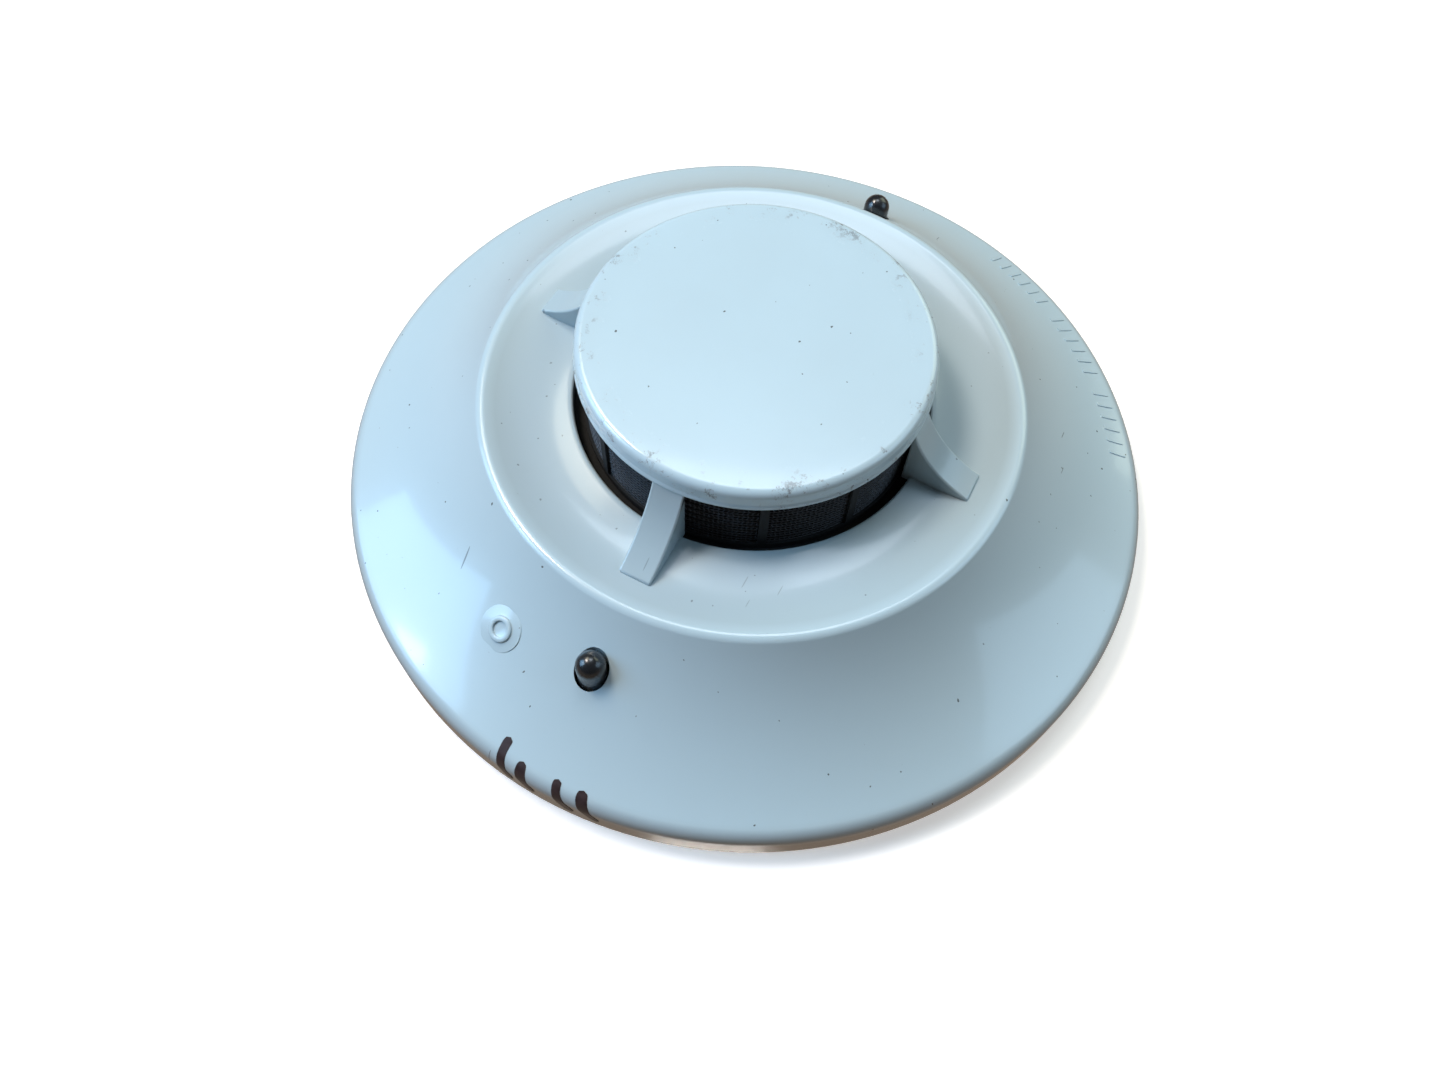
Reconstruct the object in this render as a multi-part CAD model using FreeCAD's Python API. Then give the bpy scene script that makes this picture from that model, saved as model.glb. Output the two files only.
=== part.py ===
"""Plug-in smoke detector head, cap upwards.

Millimetres, +Z up, origin at the centre of the plane it rests on.
"""

import FreeCAD, Part
import math
import os

# ---- driving dimensions ------------------------------------------------------------------------------------

# cover moulding, outside
WALL_R = 52.0
WALL_FOOT_Z = 0.3
RIM_R = 2.15
RIM_Z = 3.85
SKIRT_FOOT_SLOPE = 21.5
SKIRT_TOP_SLOPE = 51.3
RIDGE_R = 32.75
RIDGE_TOP_Z = 18.6
RIDGE_ROUND = 1.2
DISH_EDGE_SLOPE = 20.0
DISH_LOW_R = 26.3
DISH_LOW_Z = 17.5
MOUTH_R = 21.9
MOUTH_Z = 17.75
MOUTH_ROUND = 0.35
SKIN = 1.7
CAP_R = 21.0
CAP_TOP_Z = 28.3
CAP_FOOT_Z = 25.3
CAP_ROUND = 1.0
CAP_BEAD_R = 21.2
CAP_BEAD_H = 0.75
CAP_ROOF = 1.8
CAP_LIP_INNER_R = 19.9
RIB_COUNT = 4
RIB_T = 4.0
RIB_INNER_R = 20.8
RIB_FOOT_R = 29.1
RIB_FOOT_Z = 18.1
RIB_SAG = 1.2
TAB_R = 46.6
TAB_W = 6.0
TAB_T = 1.2
TAB_NOSE = 0.5
TAB_FOOT_Z = 1.2
TAB_TOP_Z = 6.6
RING_AZ = -107.2
RING_POS_R = 41.1
RING_OUTER_R = 1.55
RING_INNER_R = 0.93
RING_H = 0.35
RING_PAD_R = 2.8
RING_PAD_H = 0.08
RING_SUNK = 0.5
TICK_FROM_AZ = 26.0
TICK_STEP_AZ = 2.25
TICK_COUNT = 21
TICK_GAP_EVERY = 7
TICK_W_AZ = 0.6
TICK_INNER_R = 47.6
TICK_OUTER_R = 50.3
TICK_H = 0.22

# status indicators
LED_R = 39.1
LED_LENS_R = 1.75
LED_HOLE_R = 2.05
LED_TOP_Z = 15.7
LED_FLANGE_R = 2.15
LED_FLANGE_H = 0.8
LED_FOOT_Z = 7.8

# insect screen
SCREEN_R = 20.65
SCREEN_T = 0.9
SCREEN_FOOT_Z = 13.4
SCREEN_TOP_Z = 25.9
SCREEN_FLANGE_R = 24.2
SCREEN_FLANGE_Z = 14.8
SCREEN_FLANGE_T = 0.8
SCREEN_BAR_COUNT = 12
SCREEN_BAR_W = 1.0
SCREEN_WINDOW_Z = (16.6, 24.5)
MESH_R = 20.35
MESH_T = 0.2

# back housing
PLATE_R = 49.8
PLATE_Z = (2.4, 4.0)
SPIGOT_R = 40.0
SPIGOT_T = 2.2
SLOT_COUNT = 3
SLOT_FIRST_AZ = 30.0
SLOT_MOUTH_W = 8.0
SLOT_RUN_W = 17.0
SLOT_RUN_H = 1.1
POST_R = 38.4
POST_OUTER_R = 3.0
POST_AZ = (60.0, 180.0, 300.0)
TAB_AZ = (45.0, 135.0, 225.0, 315.0)
TAB_SLOT_W = 7.4
TAB_SLOT_IN = 0.6
TAB_SLOT_OUT = 0.6

# circuit board
BOARD_R = 42.3
BOARD_Z = (5.2, 6.8)
SCREW_R = 1.1
SCREW_HEAD_R = 2.6
SCREW_HEAD_H = 1.5
SCREW_TIP_Z = 2.9
SCREW_CROSS_W = 0.5
SCREW_CROSS_DEEP = 0.5

# smoke chamber
CHAMBER_R = 19.2
CHAMBER_FLOOR_Z = (6.8, 9.0)
CHAMBER_LID_Z = (22.9, 24.4)
VANE_COUNT = 16
VANE_T = 1.0
VANE_OUTER_R = 18.4
VANE_INNER_R = 13.6
VANE_TURN = 38.0
OPTIC_Z = 12.2
OPTIC_R = 9.4
EMITTER_AZ = 200.0
DIODE_AZ = 330.0
EMITTER_LENS_R = 1.5
EMITTER_LENGTH = 4.4
EMITTER_FLANGE_R = 1.9
EMITTER_FLANGE_T = 0.8
EMITTER_BORE_R = 1.6
EMITTER_SEAT_R = 2.0
DIODE_SIDE = 4.0
DIODE_T = 1.8
HOLDER_HALF_W = 3.2
HOLDER_HALF_H = 2.9
HOLDER_HALF_L = 3.4
PEG_R = 1.2
PEG_POS_R = 16.0
PEG_AZ = (90.0, 270.0)
PEG_FOOT_Z = 4.7
PEG_SLACK = 0.1
LEAD_R = 0.25
LEAD_GAP = 1.27
LEAD_BACK_X = 2.6
LEAD_POCKET_HALF = 1.9
SHIELD_SHEET = 0.3

# what stands on the board: places are (radius, azimuth), sizes are (length, width, height)
CHIP_PLACES = (
    (27.0, 20.0), (33.5, 30.0), (24.5, 72.0), (33.5, 78.0), (27.5, 108.0), (34.5, 150.0),
    (25.5, 165.0), (35.0, 208.0), (25.5, 236.0), (34.5, 282.0), (26.5, 298.0), (34.5, 330.0))
CAPACITOR_CHIP_PLACES = (
    (30.5, 18.0), (24.5, 58.0), (36.5, 84.0), (31.5, 112.0), (24.5, 184.0), (36.5, 216.0),
    (30.5, 286.0), (25.5, 318.0))
TRANSISTOR_PLACES = ((29.5, 76.0), (30.0, 160.0), (30.5, 345.0))
CHIP_SIZE = (2.0, 1.25, 0.55)
CAPACITOR_CHIP_SIZE = (2.0, 1.25, 0.85)
TRANSISTOR_SIZE = (2.9, 1.3, 1.0)
SURGE_SIZE = (5.0, 3.6, 2.2)
SURGE_PLACES = ((29.0, 218.0), (29.0, 305.0))
CONTROLLER_SIZE = (7.0, 7.0, 1.4)
CONTROLLER_PLACE = (31.0, 50.0)
BRIDGE_SIZE = (6.4, 4.6, 2.5)
BRIDGE_PLACE = (31.0, 134.0)
CAPACITOR_R = 3.15
CAPACITOR_H = 7.0
CAPACITOR_GROOVE_R = 0.3
CAPACITOR_GROOVE_LIFT = 1.0
CAPACITOR_PLACE = (28.5, 196.0)
CRYSTAL_SIZE = (10.2, 3.8, 3.4)
CRYSTAL_PLACE = (28.5, 0.0)
REED_R = 1.1
REED_LENGTH = 10.0
REED_PLACE = (36.0, -108.0)
REED_LIFT = 1.6
REED_LEAD_R = 0.3
REED_REACH_R = 0.27
REED_LEAD_REACH = 1.6

# back contacts and address switches
BLADE_POS_R = 30.0
BLADE_AZ = (45.0, 135.0, 225.0, 315.0)
BLADE_FOOT = (9.0, 6.0, 0.6)
BLADE_TAB_Z = 0.5
RIVET_R = 1.2
RIVET_HEAD_R = 2.1
RIVET_HEAD_H = 0.6
SWITCH_X = 11.0
SWITCH_SIDE = 10.0
SWITCH_FOOT_Z = 1.5
SWITCH_WINDOW_GAP = 0.3
DIAL_R = 3.4
DIAL_POCKET_R = 3.7
DIAL_Z = (1.1, 2.9)
DIAL_POCKET_TOP_Z = 3.1
DIAL_STEM_R = 1.2
DIAL_STEM_GAP = 0.05
DIAL_STEM_TOP_Z = 4.3
DIAL_SLOT_W = 1.0
DIAL_SLOT_DEEP = 1.0
DIAL_POINTER = (1.0, 2.0, 0.5)
LABEL_SIZE = (24.0, 11.0, 0.15)
LABEL_Y = -20.0

# small working values
RUN_GAP = 0.1
THROUGH = 1.0
FULL_TURN = 360.0
QUARTER_TURN = 90.0
SLOPE_STEP = 0.1
Z_AXIS = FreeCAD.Vector(0, 0, 1)
ORIGIN = FreeCAD.Vector(0, 0, 0)


# ---- shape helpers -----------------------------------------------------------------------------------------

def at(r, z):
    """A point of a turned outline, in the XZ plane."""
    return FreeCAD.Vector(r, 0, z)


def polar(r, azimuth, z=0.0):
    """A point at radius r and azimuth degrees."""
    turn = math.radians(azimuth)
    return FreeCAD.Vector(r * math.cos(turn), r * math.sin(turn), z)


def on_circle(centre, radius, angle):
    """A point of a turned outline on a circle, at angle degrees above the outward direction."""
    turn = math.radians(angle)
    return at(centre.x + radius * math.cos(turn), centre.z + radius * math.sin(turn))


def sagged(start, end, sag):
    """The middle point of an arc that hangs below the line from start to end by sag."""
    chord = end.sub(start)
    below = at(-abs(chord.z), -abs(chord.x)) if chord.x * chord.z < 0 else at(abs(chord.z), -abs(chord.x))
    below.normalize()
    return start.add(end).multiply(0.5).add(below.multiply(sag))


def arc(start, middle, end):
    return Part.Arc(start, middle, end).toShape()


def line(start, end):
    return Part.LineSegment(start, end).toShape()


def outline(edges):
    return Part.Face(Part.Wire(edges))


def poly(points):
    """A closed straight-sided face through points of a turned outline."""
    return Part.Face(Part.makePolygon([at(r, z) for r, z in points] + [at(*points[0])]))


def turned(face, angle=FULL_TURN):
    return face.revolve(ORIGIN, Z_AXIS, angle)


def rod(r, z0, z1, x=0.0, y=0.0):
    return Part.makeCylinder(r, z1 - z0, FreeCAD.Vector(x, y, z0))


def tube(outer, inner, z0, z1):
    return rod(outer, z0, z1).cut(rod(inner, z0 - THROUGH, z1 + THROUGH))


def block(x0, x1, y0, y1, z0, z1):
    return Part.makeBox(x1 - x0, y1 - y0, z1 - z0, FreeCAD.Vector(x0, y0, z0))


def centred(length, width, z0, z1, x=0.0, y=0.0):
    """A block centred on x, y."""
    return block(x - length / 2, x + length / 2, y - width / 2, y + width / 2, z0, z1)


def spun(shape, azimuth):
    """A copy of shape turned about the vertical axis."""
    copy = shape.copy()
    copy.rotate(ORIGIN, Z_AXIS, azimuth)
    return copy


def placed(shape, r, azimuth, twist=0.0):
    """A copy of shape, made at the origin, twisted, moved out to radius r and turned to azimuth."""
    copy = shape.copy()
    copy.rotate(ORIGIN, Z_AXIS, twist)
    copy.translate(FreeCAD.Vector(r, 0, 0))
    copy.rotate(ORIGIN, Z_AXIS, azimuth)
    return copy


def joined(shapes):
    """One solid from shapes that touch or overlap."""
    first = shapes[0]
    rest = shapes[1:]
    return first.fuse(rest).removeSplitter() if rest else first


def group(shapes):
    """Separate alike solids that share one node."""
    return Part.makeCompound(shapes)


# ---- cover -------------------------------------------------------------------------------------------------

RIM_CENTRE = at(WALL_R - RIM_R, RIM_Z)
SKIRT_FOOT = on_circle(RIM_CENTRE, RIM_R, QUARTER_TURN - SKIRT_FOOT_SLOPE)
RIDGE_CENTRE = at(RIDGE_R, RIDGE_TOP_Z - RIDGE_ROUND)
SKIRT_TOP = on_circle(RIDGE_CENTRE, RIDGE_ROUND, QUARTER_TURN - SKIRT_TOP_SLOPE)
DISH_EDGE = on_circle(RIDGE_CENTRE, RIDGE_ROUND, QUARTER_TURN + DISH_EDGE_SLOPE)
SKIRT_CHORD = SKIRT_TOP.distanceToPoint(SKIRT_FOOT)
SKIRT_SAG = SKIRT_CHORD / 2 * math.tan(math.radians(SKIRT_TOP_SLOPE - SKIRT_FOOT_SLOPE) / 4)
SKIRT_MID = sagged(SKIRT_TOP, SKIRT_FOOT, SKIRT_SAG)


def skirt_point(r):
    """The point of the skirt's outer arc at radius r."""
    curve = Part.Arc(SKIRT_TOP, SKIRT_MID, SKIRT_FOOT)
    upright = Part.LineSegment(at(r, 0), at(r, RIDGE_TOP_Z + THROUGH))
    hit = curve.intersect(upright)[0]
    return at(hit.X, hit.Z)


def skirt_slope(r):
    """How steeply the skirt falls at radius r, in degrees."""
    inner = skirt_point(r - SLOPE_STEP)
    outer = skirt_point(r + SLOPE_STEP)
    return math.degrees(math.atan2(inner.z - outer.z, outer.x - inner.x))


def shell():
    """Wall, rim, skirt, ridge and dish as one turned skin."""
    wall_foot = at(WALL_R, WALL_FOOT_Z)
    wall_top = at(WALL_R, RIM_Z)
    rim_mid = on_circle(RIM_CENTRE, RIM_R, (QUARTER_TURN - SKIRT_FOOT_SLOPE) / 2)
    ridge_mid = at(RIDGE_R, RIDGE_TOP_Z)
    dish_mid = at(DISH_LOW_R, DISH_LOW_Z)
    mouth_top = at(MOUTH_R + MOUTH_ROUND, MOUTH_Z)
    mouth_centre = at(MOUTH_R + MOUTH_ROUND, MOUTH_Z - MOUTH_ROUND)
    mouth_side = at(MOUTH_R, MOUTH_Z - MOUTH_ROUND)
    mouth_foot = at(MOUTH_R, MOUTH_Z - SKIN)
    dish_under_mid = at(DISH_LOW_R, DISH_LOW_Z - SKIN)
    ridge_under = at(RIDGE_R, RIDGE_TOP_Z - SKIN - MOUTH_ROUND)
    skirt_under = on_circle(RIM_CENTRE, RIM_R - SKIN, QUARTER_TURN - SKIRT_FOOT_SLOPE)
    wall_inner_top = at(WALL_R - SKIN, RIM_Z)
    wall_inner_foot = at(WALL_R - SKIN, WALL_FOOT_Z)
    rim_under_mid = on_circle(RIM_CENTRE, RIM_R - SKIN, (QUARTER_TURN - SKIRT_FOOT_SLOPE) / 2)
    edges = [
        line(wall_foot, wall_top),
        arc(wall_top, rim_mid, SKIRT_FOOT),
        arc(SKIRT_FOOT, SKIRT_MID, SKIRT_TOP),
        arc(SKIRT_TOP, ridge_mid, DISH_EDGE),
        arc(DISH_EDGE, dish_mid, mouth_top),
        arc(mouth_top, on_circle(mouth_centre, MOUTH_ROUND, 1.5 * QUARTER_TURN), mouth_side),
        line(mouth_side, mouth_foot),
        arc(mouth_foot, dish_under_mid, ridge_under),
        arc(ridge_under, sagged(ridge_under, skirt_under, SKIRT_SAG), skirt_under),
        arc(skirt_under, rim_under_mid, wall_inner_top),
        line(wall_inner_top, wall_inner_foot),
        line(wall_inner_foot, wall_foot),
    ]
    return turned(outline(edges))


def cap():
    """Round cap: rounded top edge, straight side, thin bead at its foot, hollow underneath."""
    round_centre = at(CAP_R - CAP_ROUND, CAP_TOP_Z - CAP_ROUND)
    top_edge = at(CAP_R - CAP_ROUND, CAP_TOP_Z)
    side_top = at(CAP_R, CAP_TOP_Z - CAP_ROUND)
    bead_top_z = CAP_FOOT_Z + CAP_BEAD_H
    bead_step = CAP_BEAD_R - CAP_R
    roof_z = CAP_TOP_Z - CAP_ROOF
    edges = [
        line(at(0, CAP_TOP_Z), top_edge),
        arc(top_edge, on_circle(round_centre, CAP_ROUND, QUARTER_TURN / 2), side_top),
        line(side_top, at(CAP_R, bead_top_z)),
        line(at(CAP_R, bead_top_z), at(CAP_BEAD_R, bead_top_z - bead_step)),
        line(at(CAP_BEAD_R, bead_top_z - bead_step), at(CAP_BEAD_R, CAP_FOOT_Z + bead_step)),
        line(at(CAP_BEAD_R, CAP_FOOT_Z + bead_step), at(CAP_R, CAP_FOOT_Z)),
        line(at(CAP_R, CAP_FOOT_Z), at(CAP_LIP_INNER_R, CAP_FOOT_Z)),
        line(at(CAP_LIP_INNER_R, CAP_FOOT_Z), at(CAP_LIP_INNER_R, roof_z)),
        line(at(CAP_LIP_INNER_R, roof_z), at(0, roof_z)),
        line(at(0, roof_z), at(0, CAP_TOP_Z)),
    ]
    return turned(outline(edges))


def rib():
    """One rib, from under the cap's edge down to the dish, with a hollow curved back."""
    top = at(CAP_R, CAP_FOOT_Z + CAP_BEAD_H / 2)
    foot = at(RIB_FOOT_R, RIB_FOOT_Z)
    sunk_z = DISH_LOW_Z - SKIN / 2
    inner_top = at(RIB_INNER_R, top.z)
    edges = [
        line(inner_top, top),
        arc(top, sagged(top, foot, RIB_SAG), foot),
        line(foot, at(RIB_FOOT_R, sunk_z)),
        line(at(RIB_FOOT_R, sunk_z), at(RIB_INNER_R, sunk_z)),
        line(at(RIB_INNER_R, sunk_z), inner_top),
    ]
    face = outline(edges)
    face.translate(FreeCAD.Vector(0, -RIB_T / 2, 0))
    return face.extrude(FreeCAD.Vector(0, RIB_T, 0))


def rib_root():
    """The rib's short step in under the cap's lip, which carries the cap."""
    return block(CAP_LIP_INNER_R + RUN_GAP, RIB_INNER_R + RUN_GAP, -RIB_T / 2, RIB_T / 2,
                 CAP_FOOT_Z - RUN_GAP, CAP_FOOT_Z + CAP_BEAD_H / 2)


def latch_tab():
    """A springy tab under the skirt, drawn pressed in, with its nose clear of the housing."""
    stem = block(TAB_R - TAB_T / 2, TAB_R + TAB_T / 2, -TAB_W / 2, TAB_W / 2, TAB_FOOT_Z, TAB_TOP_Z)
    nose_face = poly([
        (TAB_R + TAB_T / 2, TAB_FOOT_Z),
        (TAB_R + TAB_T / 2 + TAB_NOSE, TAB_FOOT_Z + TAB_NOSE),
        (TAB_R + TAB_T / 2 + TAB_NOSE, TAB_FOOT_Z + TAB_NOSE + TAB_NOSE / 2),
        (TAB_R + TAB_T / 2, TAB_FOOT_Z + TAB_NOSE + TAB_NOSE),
    ])
    nose_face.translate(FreeCAD.Vector(0, -TAB_W / 2, 0))
    nose = nose_face.extrude(FreeCAD.Vector(0, TAB_W, 0))
    return stem.fuse(nose)


def marker_ring():
    """The raised ring on the skirt and the thin round pad under it, square to the skirt's slope."""
    foot = skirt_point(RING_POS_R)
    ring = tube(RING_OUTER_R, RING_INNER_R, -RING_SUNK, RING_H)
    pad = rod(RING_PAD_R, -RING_SUNK, RING_PAD_H)
    mark = pad.fuse(ring)
    mark.rotate(ORIGIN, FreeCAD.Vector(0, 1, 0), skirt_slope(RING_POS_R))
    mark.translate(foot)
    return spun(mark, RING_AZ)


def tick():
    """One raised tick near the rim: a thin slice of a band that follows the skirt."""
    start = skirt_point(TICK_INNER_R)
    end = skirt_point(TICK_OUTER_R)
    middle = skirt_point((TICK_INNER_R + TICK_OUTER_R) / 2)
    up = at(0, TICK_H)
    down = at(0, -TICK_H)
    edges = [
        arc(start.add(down), middle.add(down), end.add(down)),
        line(end.add(down), end.add(up)),
        arc(end.add(up), middle.add(up), start.add(up)),
        line(start.add(up), start.add(down)),
    ]
    return turned(outline(edges), TICK_W_AZ)


def ticks():
    made = []
    for index in range(TICK_COUNT):
        if (index + 1) % TICK_GAP_EVERY:
            made.append(spun(tick(), TICK_FROM_AZ + index * TICK_STEP_AZ))
    return made


def cover():
    """The white outer moulding: skirt, dish, ribs and cap in one piece."""
    ribs = [spun(rib(), index * FULL_TURN / RIB_COUNT) for index in range(RIB_COUNT)]
    roots = [spun(rib_root(), index * FULL_TURN / RIB_COUNT) for index in range(RIB_COUNT)]
    tabs = [spun(latch_tab(), azimuth) for azimuth in TAB_AZ]
    body = joined([shell(), cap()] + ribs + roots + tabs + [marker_ring()] + ticks())
    holes = [rod(LED_HOLE_R, LED_FOOT_Z, LED_TOP_Z + THROUGH, 0, y) for y in (-LED_R, LED_R)]
    return body.cut(holes)


# ---- insect screen -----------------------------------------------------------------------------------------

def insect_screen():
    """Black frame: bars between two hoops, and a flange that sits under the dish."""
    drum = tube(SCREEN_R, SCREEN_R - SCREEN_T, SCREEN_FOOT_Z, SCREEN_TOP_Z)
    flange = tube(SCREEN_FLANGE_R, SCREEN_R - SCREEN_T, SCREEN_FLANGE_Z, SCREEN_FLANGE_Z + SCREEN_FLANGE_T)
    low, high = SCREEN_WINDOW_Z
    band = tube(SCREEN_R + THROUGH, SCREEN_R - SCREEN_T - THROUGH, low, high)
    bars = []
    for index in range(SCREEN_BAR_COUNT):
        bar = block(0, SCREEN_R + THROUGH + THROUGH, -SCREEN_BAR_W / 2, SCREEN_BAR_W / 2, low, high)
        bars.append(spun(bar, index * FULL_TURN / SCREEN_BAR_COUNT))
    seat = tube(MESH_R, MESH_R - MESH_T, low - THROUGH / 2, high + THROUGH / 2)
    notch_z = CAP_FOOT_Z - RUN_GAP - RUN_GAP
    notch_half_w = RIB_T / 2 + RUN_GAP
    rib_notches = []
    for index in range(RIB_COUNT):
        notch = block(CAP_LIP_INNER_R - RUN_GAP, SCREEN_R + THROUGH, -notch_half_w, notch_half_w,
                      notch_z, SCREEN_TOP_Z + THROUGH)
        rib_notches.append(spun(notch, index * FULL_TURN / RIB_COUNT))
    lip = tube(SCREEN_R + THROUGH, CAP_LIP_INNER_R - RUN_GAP, CAP_FOOT_Z - RUN_GAP, SCREEN_TOP_Z + THROUGH)
    return joined([drum, flange]).cut(band.cut(bars)).cut([seat, lip] + rib_notches)


def screen_mesh():
    """The fine mesh as a plain thin sleeve in the frame's groove."""
    low, high = SCREEN_WINDOW_Z
    return tube(MESH_R, MESH_R - MESH_T, low - THROUGH / 2, high + THROUGH / 2)


# ---- smoke chamber -----------------------------------------------------------------------------------------

def vane():
    """One light-trap vane: a slanted wall with a bent tip."""
    height_low = CHAMBER_FLOOR_Z[1] + RUN_GAP
    height_high = CHAMBER_LID_Z[0] + RUN_GAP
    depth = VANE_OUTER_R - VANE_INNER_R
    wall = block(-depth / 2, depth / 2, -VANE_T / 2, VANE_T / 2, height_low, height_high)
    tip = block(-VANE_T / 2, depth / 2, -VANE_T / 2, VANE_T / 2, height_low, height_high)
    tip.rotate(ORIGIN, Z_AXIS, -QUARTER_TURN)
    tip.translate(FreeCAD.Vector(depth / 2 - VANE_T, 0, 0))
    return wall.fuse(tip)


def chamber_cover():
    """Black lid of the smoke chamber with its ring of vanes."""
    lid = rod(CHAMBER_R, *CHAMBER_LID_Z)
    shape = vane()
    middle_r = (VANE_OUTER_R + VANE_INNER_R) / 2
    vanes = []
    for index in range(VANE_COUNT):
        vanes.append(placed(shape, middle_r, index * FULL_TURN / VANE_COUNT, VANE_TURN))
    return joined([lid] + vanes)


def optic_frame(shape, azimuth):
    """A copy of an optical piece made at the origin looking along -X, set at its place in the chamber."""
    copy = shape.copy()
    copy.translate(FreeCAD.Vector(OPTIC_R, 0, OPTIC_Z))
    return spun(copy, azimuth)


def along_x(r, x0, x1):
    """A rod lying along X through the origin."""
    return Part.makeCylinder(r, x1 - x0, FreeCAD.Vector(x0, 0, 0), FreeCAD.Vector(1, 0, 0))


def emitter_pocket():
    """What the emitter needs cut from its holder: bore, flange seat, open back and top."""
    bore = along_x(EMITTER_BORE_R, -HOLDER_HALF_L - THROUGH, HOLDER_HALF_L + THROUGH)
    mouth = block(0, HOLDER_HALF_L + THROUGH, -EMITTER_SEAT_R, EMITTER_SEAT_R, -EMITTER_SEAT_R,
                  HOLDER_HALF_H + THROUGH)
    return bore.fuse(mouth)


def diode_pocket():
    """What the photodiode and its lens need cut from their holder."""
    half = DIODE_SIDE / 2 + RUN_GAP
    seat = block(-RUN_GAP, HOLDER_HALF_L + THROUGH, -half, half, -half, HOLDER_HALF_H + THROUGH)
    bore = along_x(EMITTER_BORE_R, -HOLDER_HALF_L - THROUGH, HOLDER_HALF_L)
    return bore.fuse(seat)


def chamber_base():
    """Black floor of the smoke chamber, with both optical holders and two pegs through the board."""
    floor = rod(CHAMBER_R, *CHAMBER_FLOOR_Z)
    holder = block(-HOLDER_HALF_L, HOLDER_HALF_L, -HOLDER_HALF_W, HOLDER_HALF_W,
                   CHAMBER_FLOOR_Z[1] - OPTIC_Z - RUN_GAP, HOLDER_HALF_H)
    parts = [floor]
    parts.append(optic_frame(holder, EMITTER_AZ))
    parts.append(optic_frame(holder, DIODE_AZ))
    for azimuth in PEG_AZ:
        place = polar(PEG_POS_R, azimuth)
        parts.append(rod(PEG_R, PEG_FOOT_Z, CHAMBER_FLOOR_Z[0] + THROUGH, place.x, place.y))
    body = joined(parts)
    return body.cut([optic_frame(emitter_pocket(), EMITTER_AZ), optic_frame(diode_pocket(), DIODE_AZ),
                     optic_frame(lead_pocket(), EMITTER_AZ)])


def lead_pocket():
    """The slot that lets the emitter's leads down through the chamber floor."""
    return block(LEAD_BACK_X - LEAD_R - RUN_GAP, HOLDER_HALF_L + THROUGH, -LEAD_POCKET_HALF, LEAD_POCKET_HALF,
                 CHAMBER_FLOOR_Z[0] - OPTIC_Z - THROUGH, 0)


def infrared_emitter():
    """Small domed infrared emitter, looking across the chamber."""
    dome = Part.makeSphere(EMITTER_LENS_R, FreeCAD.Vector(-EMITTER_LENGTH / 2, 0, 0))
    body = along_x(EMITTER_LENS_R, -EMITTER_LENGTH / 2, EMITTER_FLANGE_T)
    flange = along_x(EMITTER_FLANGE_R, RUN_GAP, EMITTER_FLANGE_T + RUN_GAP)
    return optic_frame(joined([dome, body, flange]), EMITTER_AZ)


def emitter_leads():
    """Two bent leads, from the emitter's back down into the board."""
    leads = []
    for side in (-LEAD_GAP, LEAD_GAP):
        back = along_x(LEAD_R, EMITTER_FLANGE_T + RUN_GAP, LEAD_BACK_X)
        top = FreeCAD.Vector(LEAD_BACK_X, 0, LEAD_R)
        drop = Part.makeCylinder(LEAD_R, OPTIC_Z - BOARD_Z[0] + LEAD_R, top, FreeCAD.Vector(0, 0, -1))
        lead = joined([back, drop])
        lead.translate(FreeCAD.Vector(0, side, 0))
        leads.append(optic_frame(lead, EMITTER_AZ))
    return group(leads)


def emitter_clip():
    """Black lid that presses the emitter into its holder."""
    lid = block(-HOLDER_HALF_L, HOLDER_HALF_L, -HOLDER_HALF_W, HOLDER_HALF_W, HOLDER_HALF_H,
                HOLDER_HALF_H + THROUGH)
    tongue = block(EMITTER_FLANGE_T, HOLDER_HALF_L - THROUGH, -THROUGH, THROUGH, EMITTER_FLANGE_R,
                   HOLDER_HALF_H)
    return optic_frame(lid.fuse(tongue), EMITTER_AZ)


def photodiode():
    """Square photodiode chip package, standing behind its lens."""
    half = DIODE_SIDE / 2
    return optic_frame(block(0, DIODE_T, -half, half, -half, half), DIODE_AZ)


def photodiode_lens():
    """Clear plano-convex lens in the photodiode's bore."""
    flat = along_x(EMITTER_LENS_R, -HOLDER_HALF_L + EMITTER_LENS_R, -2 * RUN_GAP)
    dome = Part.makeSphere(EMITTER_LENS_R, FreeCAD.Vector(-HOLDER_HALF_L + EMITTER_LENS_R, 0, 0))
    return optic_frame(joined([flat, dome]), DIODE_AZ)


def photodiode_shield():
    """Tinned sheet screen folded over the photodiode's back, top and the back of its holder."""
    half = DIODE_SIDE / 2
    back_x = DIODE_T + RUN_GAP
    top_z = HOLDER_HALF_H + SHIELD_SHEET
    back = block(back_x, back_x + SHIELD_SHEET, -half, half, -half, top_z)
    top = block(-HOLDER_HALF_L, back_x + SHIELD_SHEET, -half, half, HOLDER_HALF_H, top_z)
    return optic_frame(back.fuse(top), DIODE_AZ)


# ---- circuit board and what stands on it -------------------------------------------------------------------

def on_board(shape, place, twist=0.0):
    return placed(shape, place[0], place[1], twist)


def chips(size, places, twist=0.0):
    """Alike block-shaped packages standing on the board."""
    length, width, height = size
    package = centred(length, width, BOARD_Z[1], BOARD_Z[1] + height)
    return group([on_board(package, place, twist) for place in places])


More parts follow.
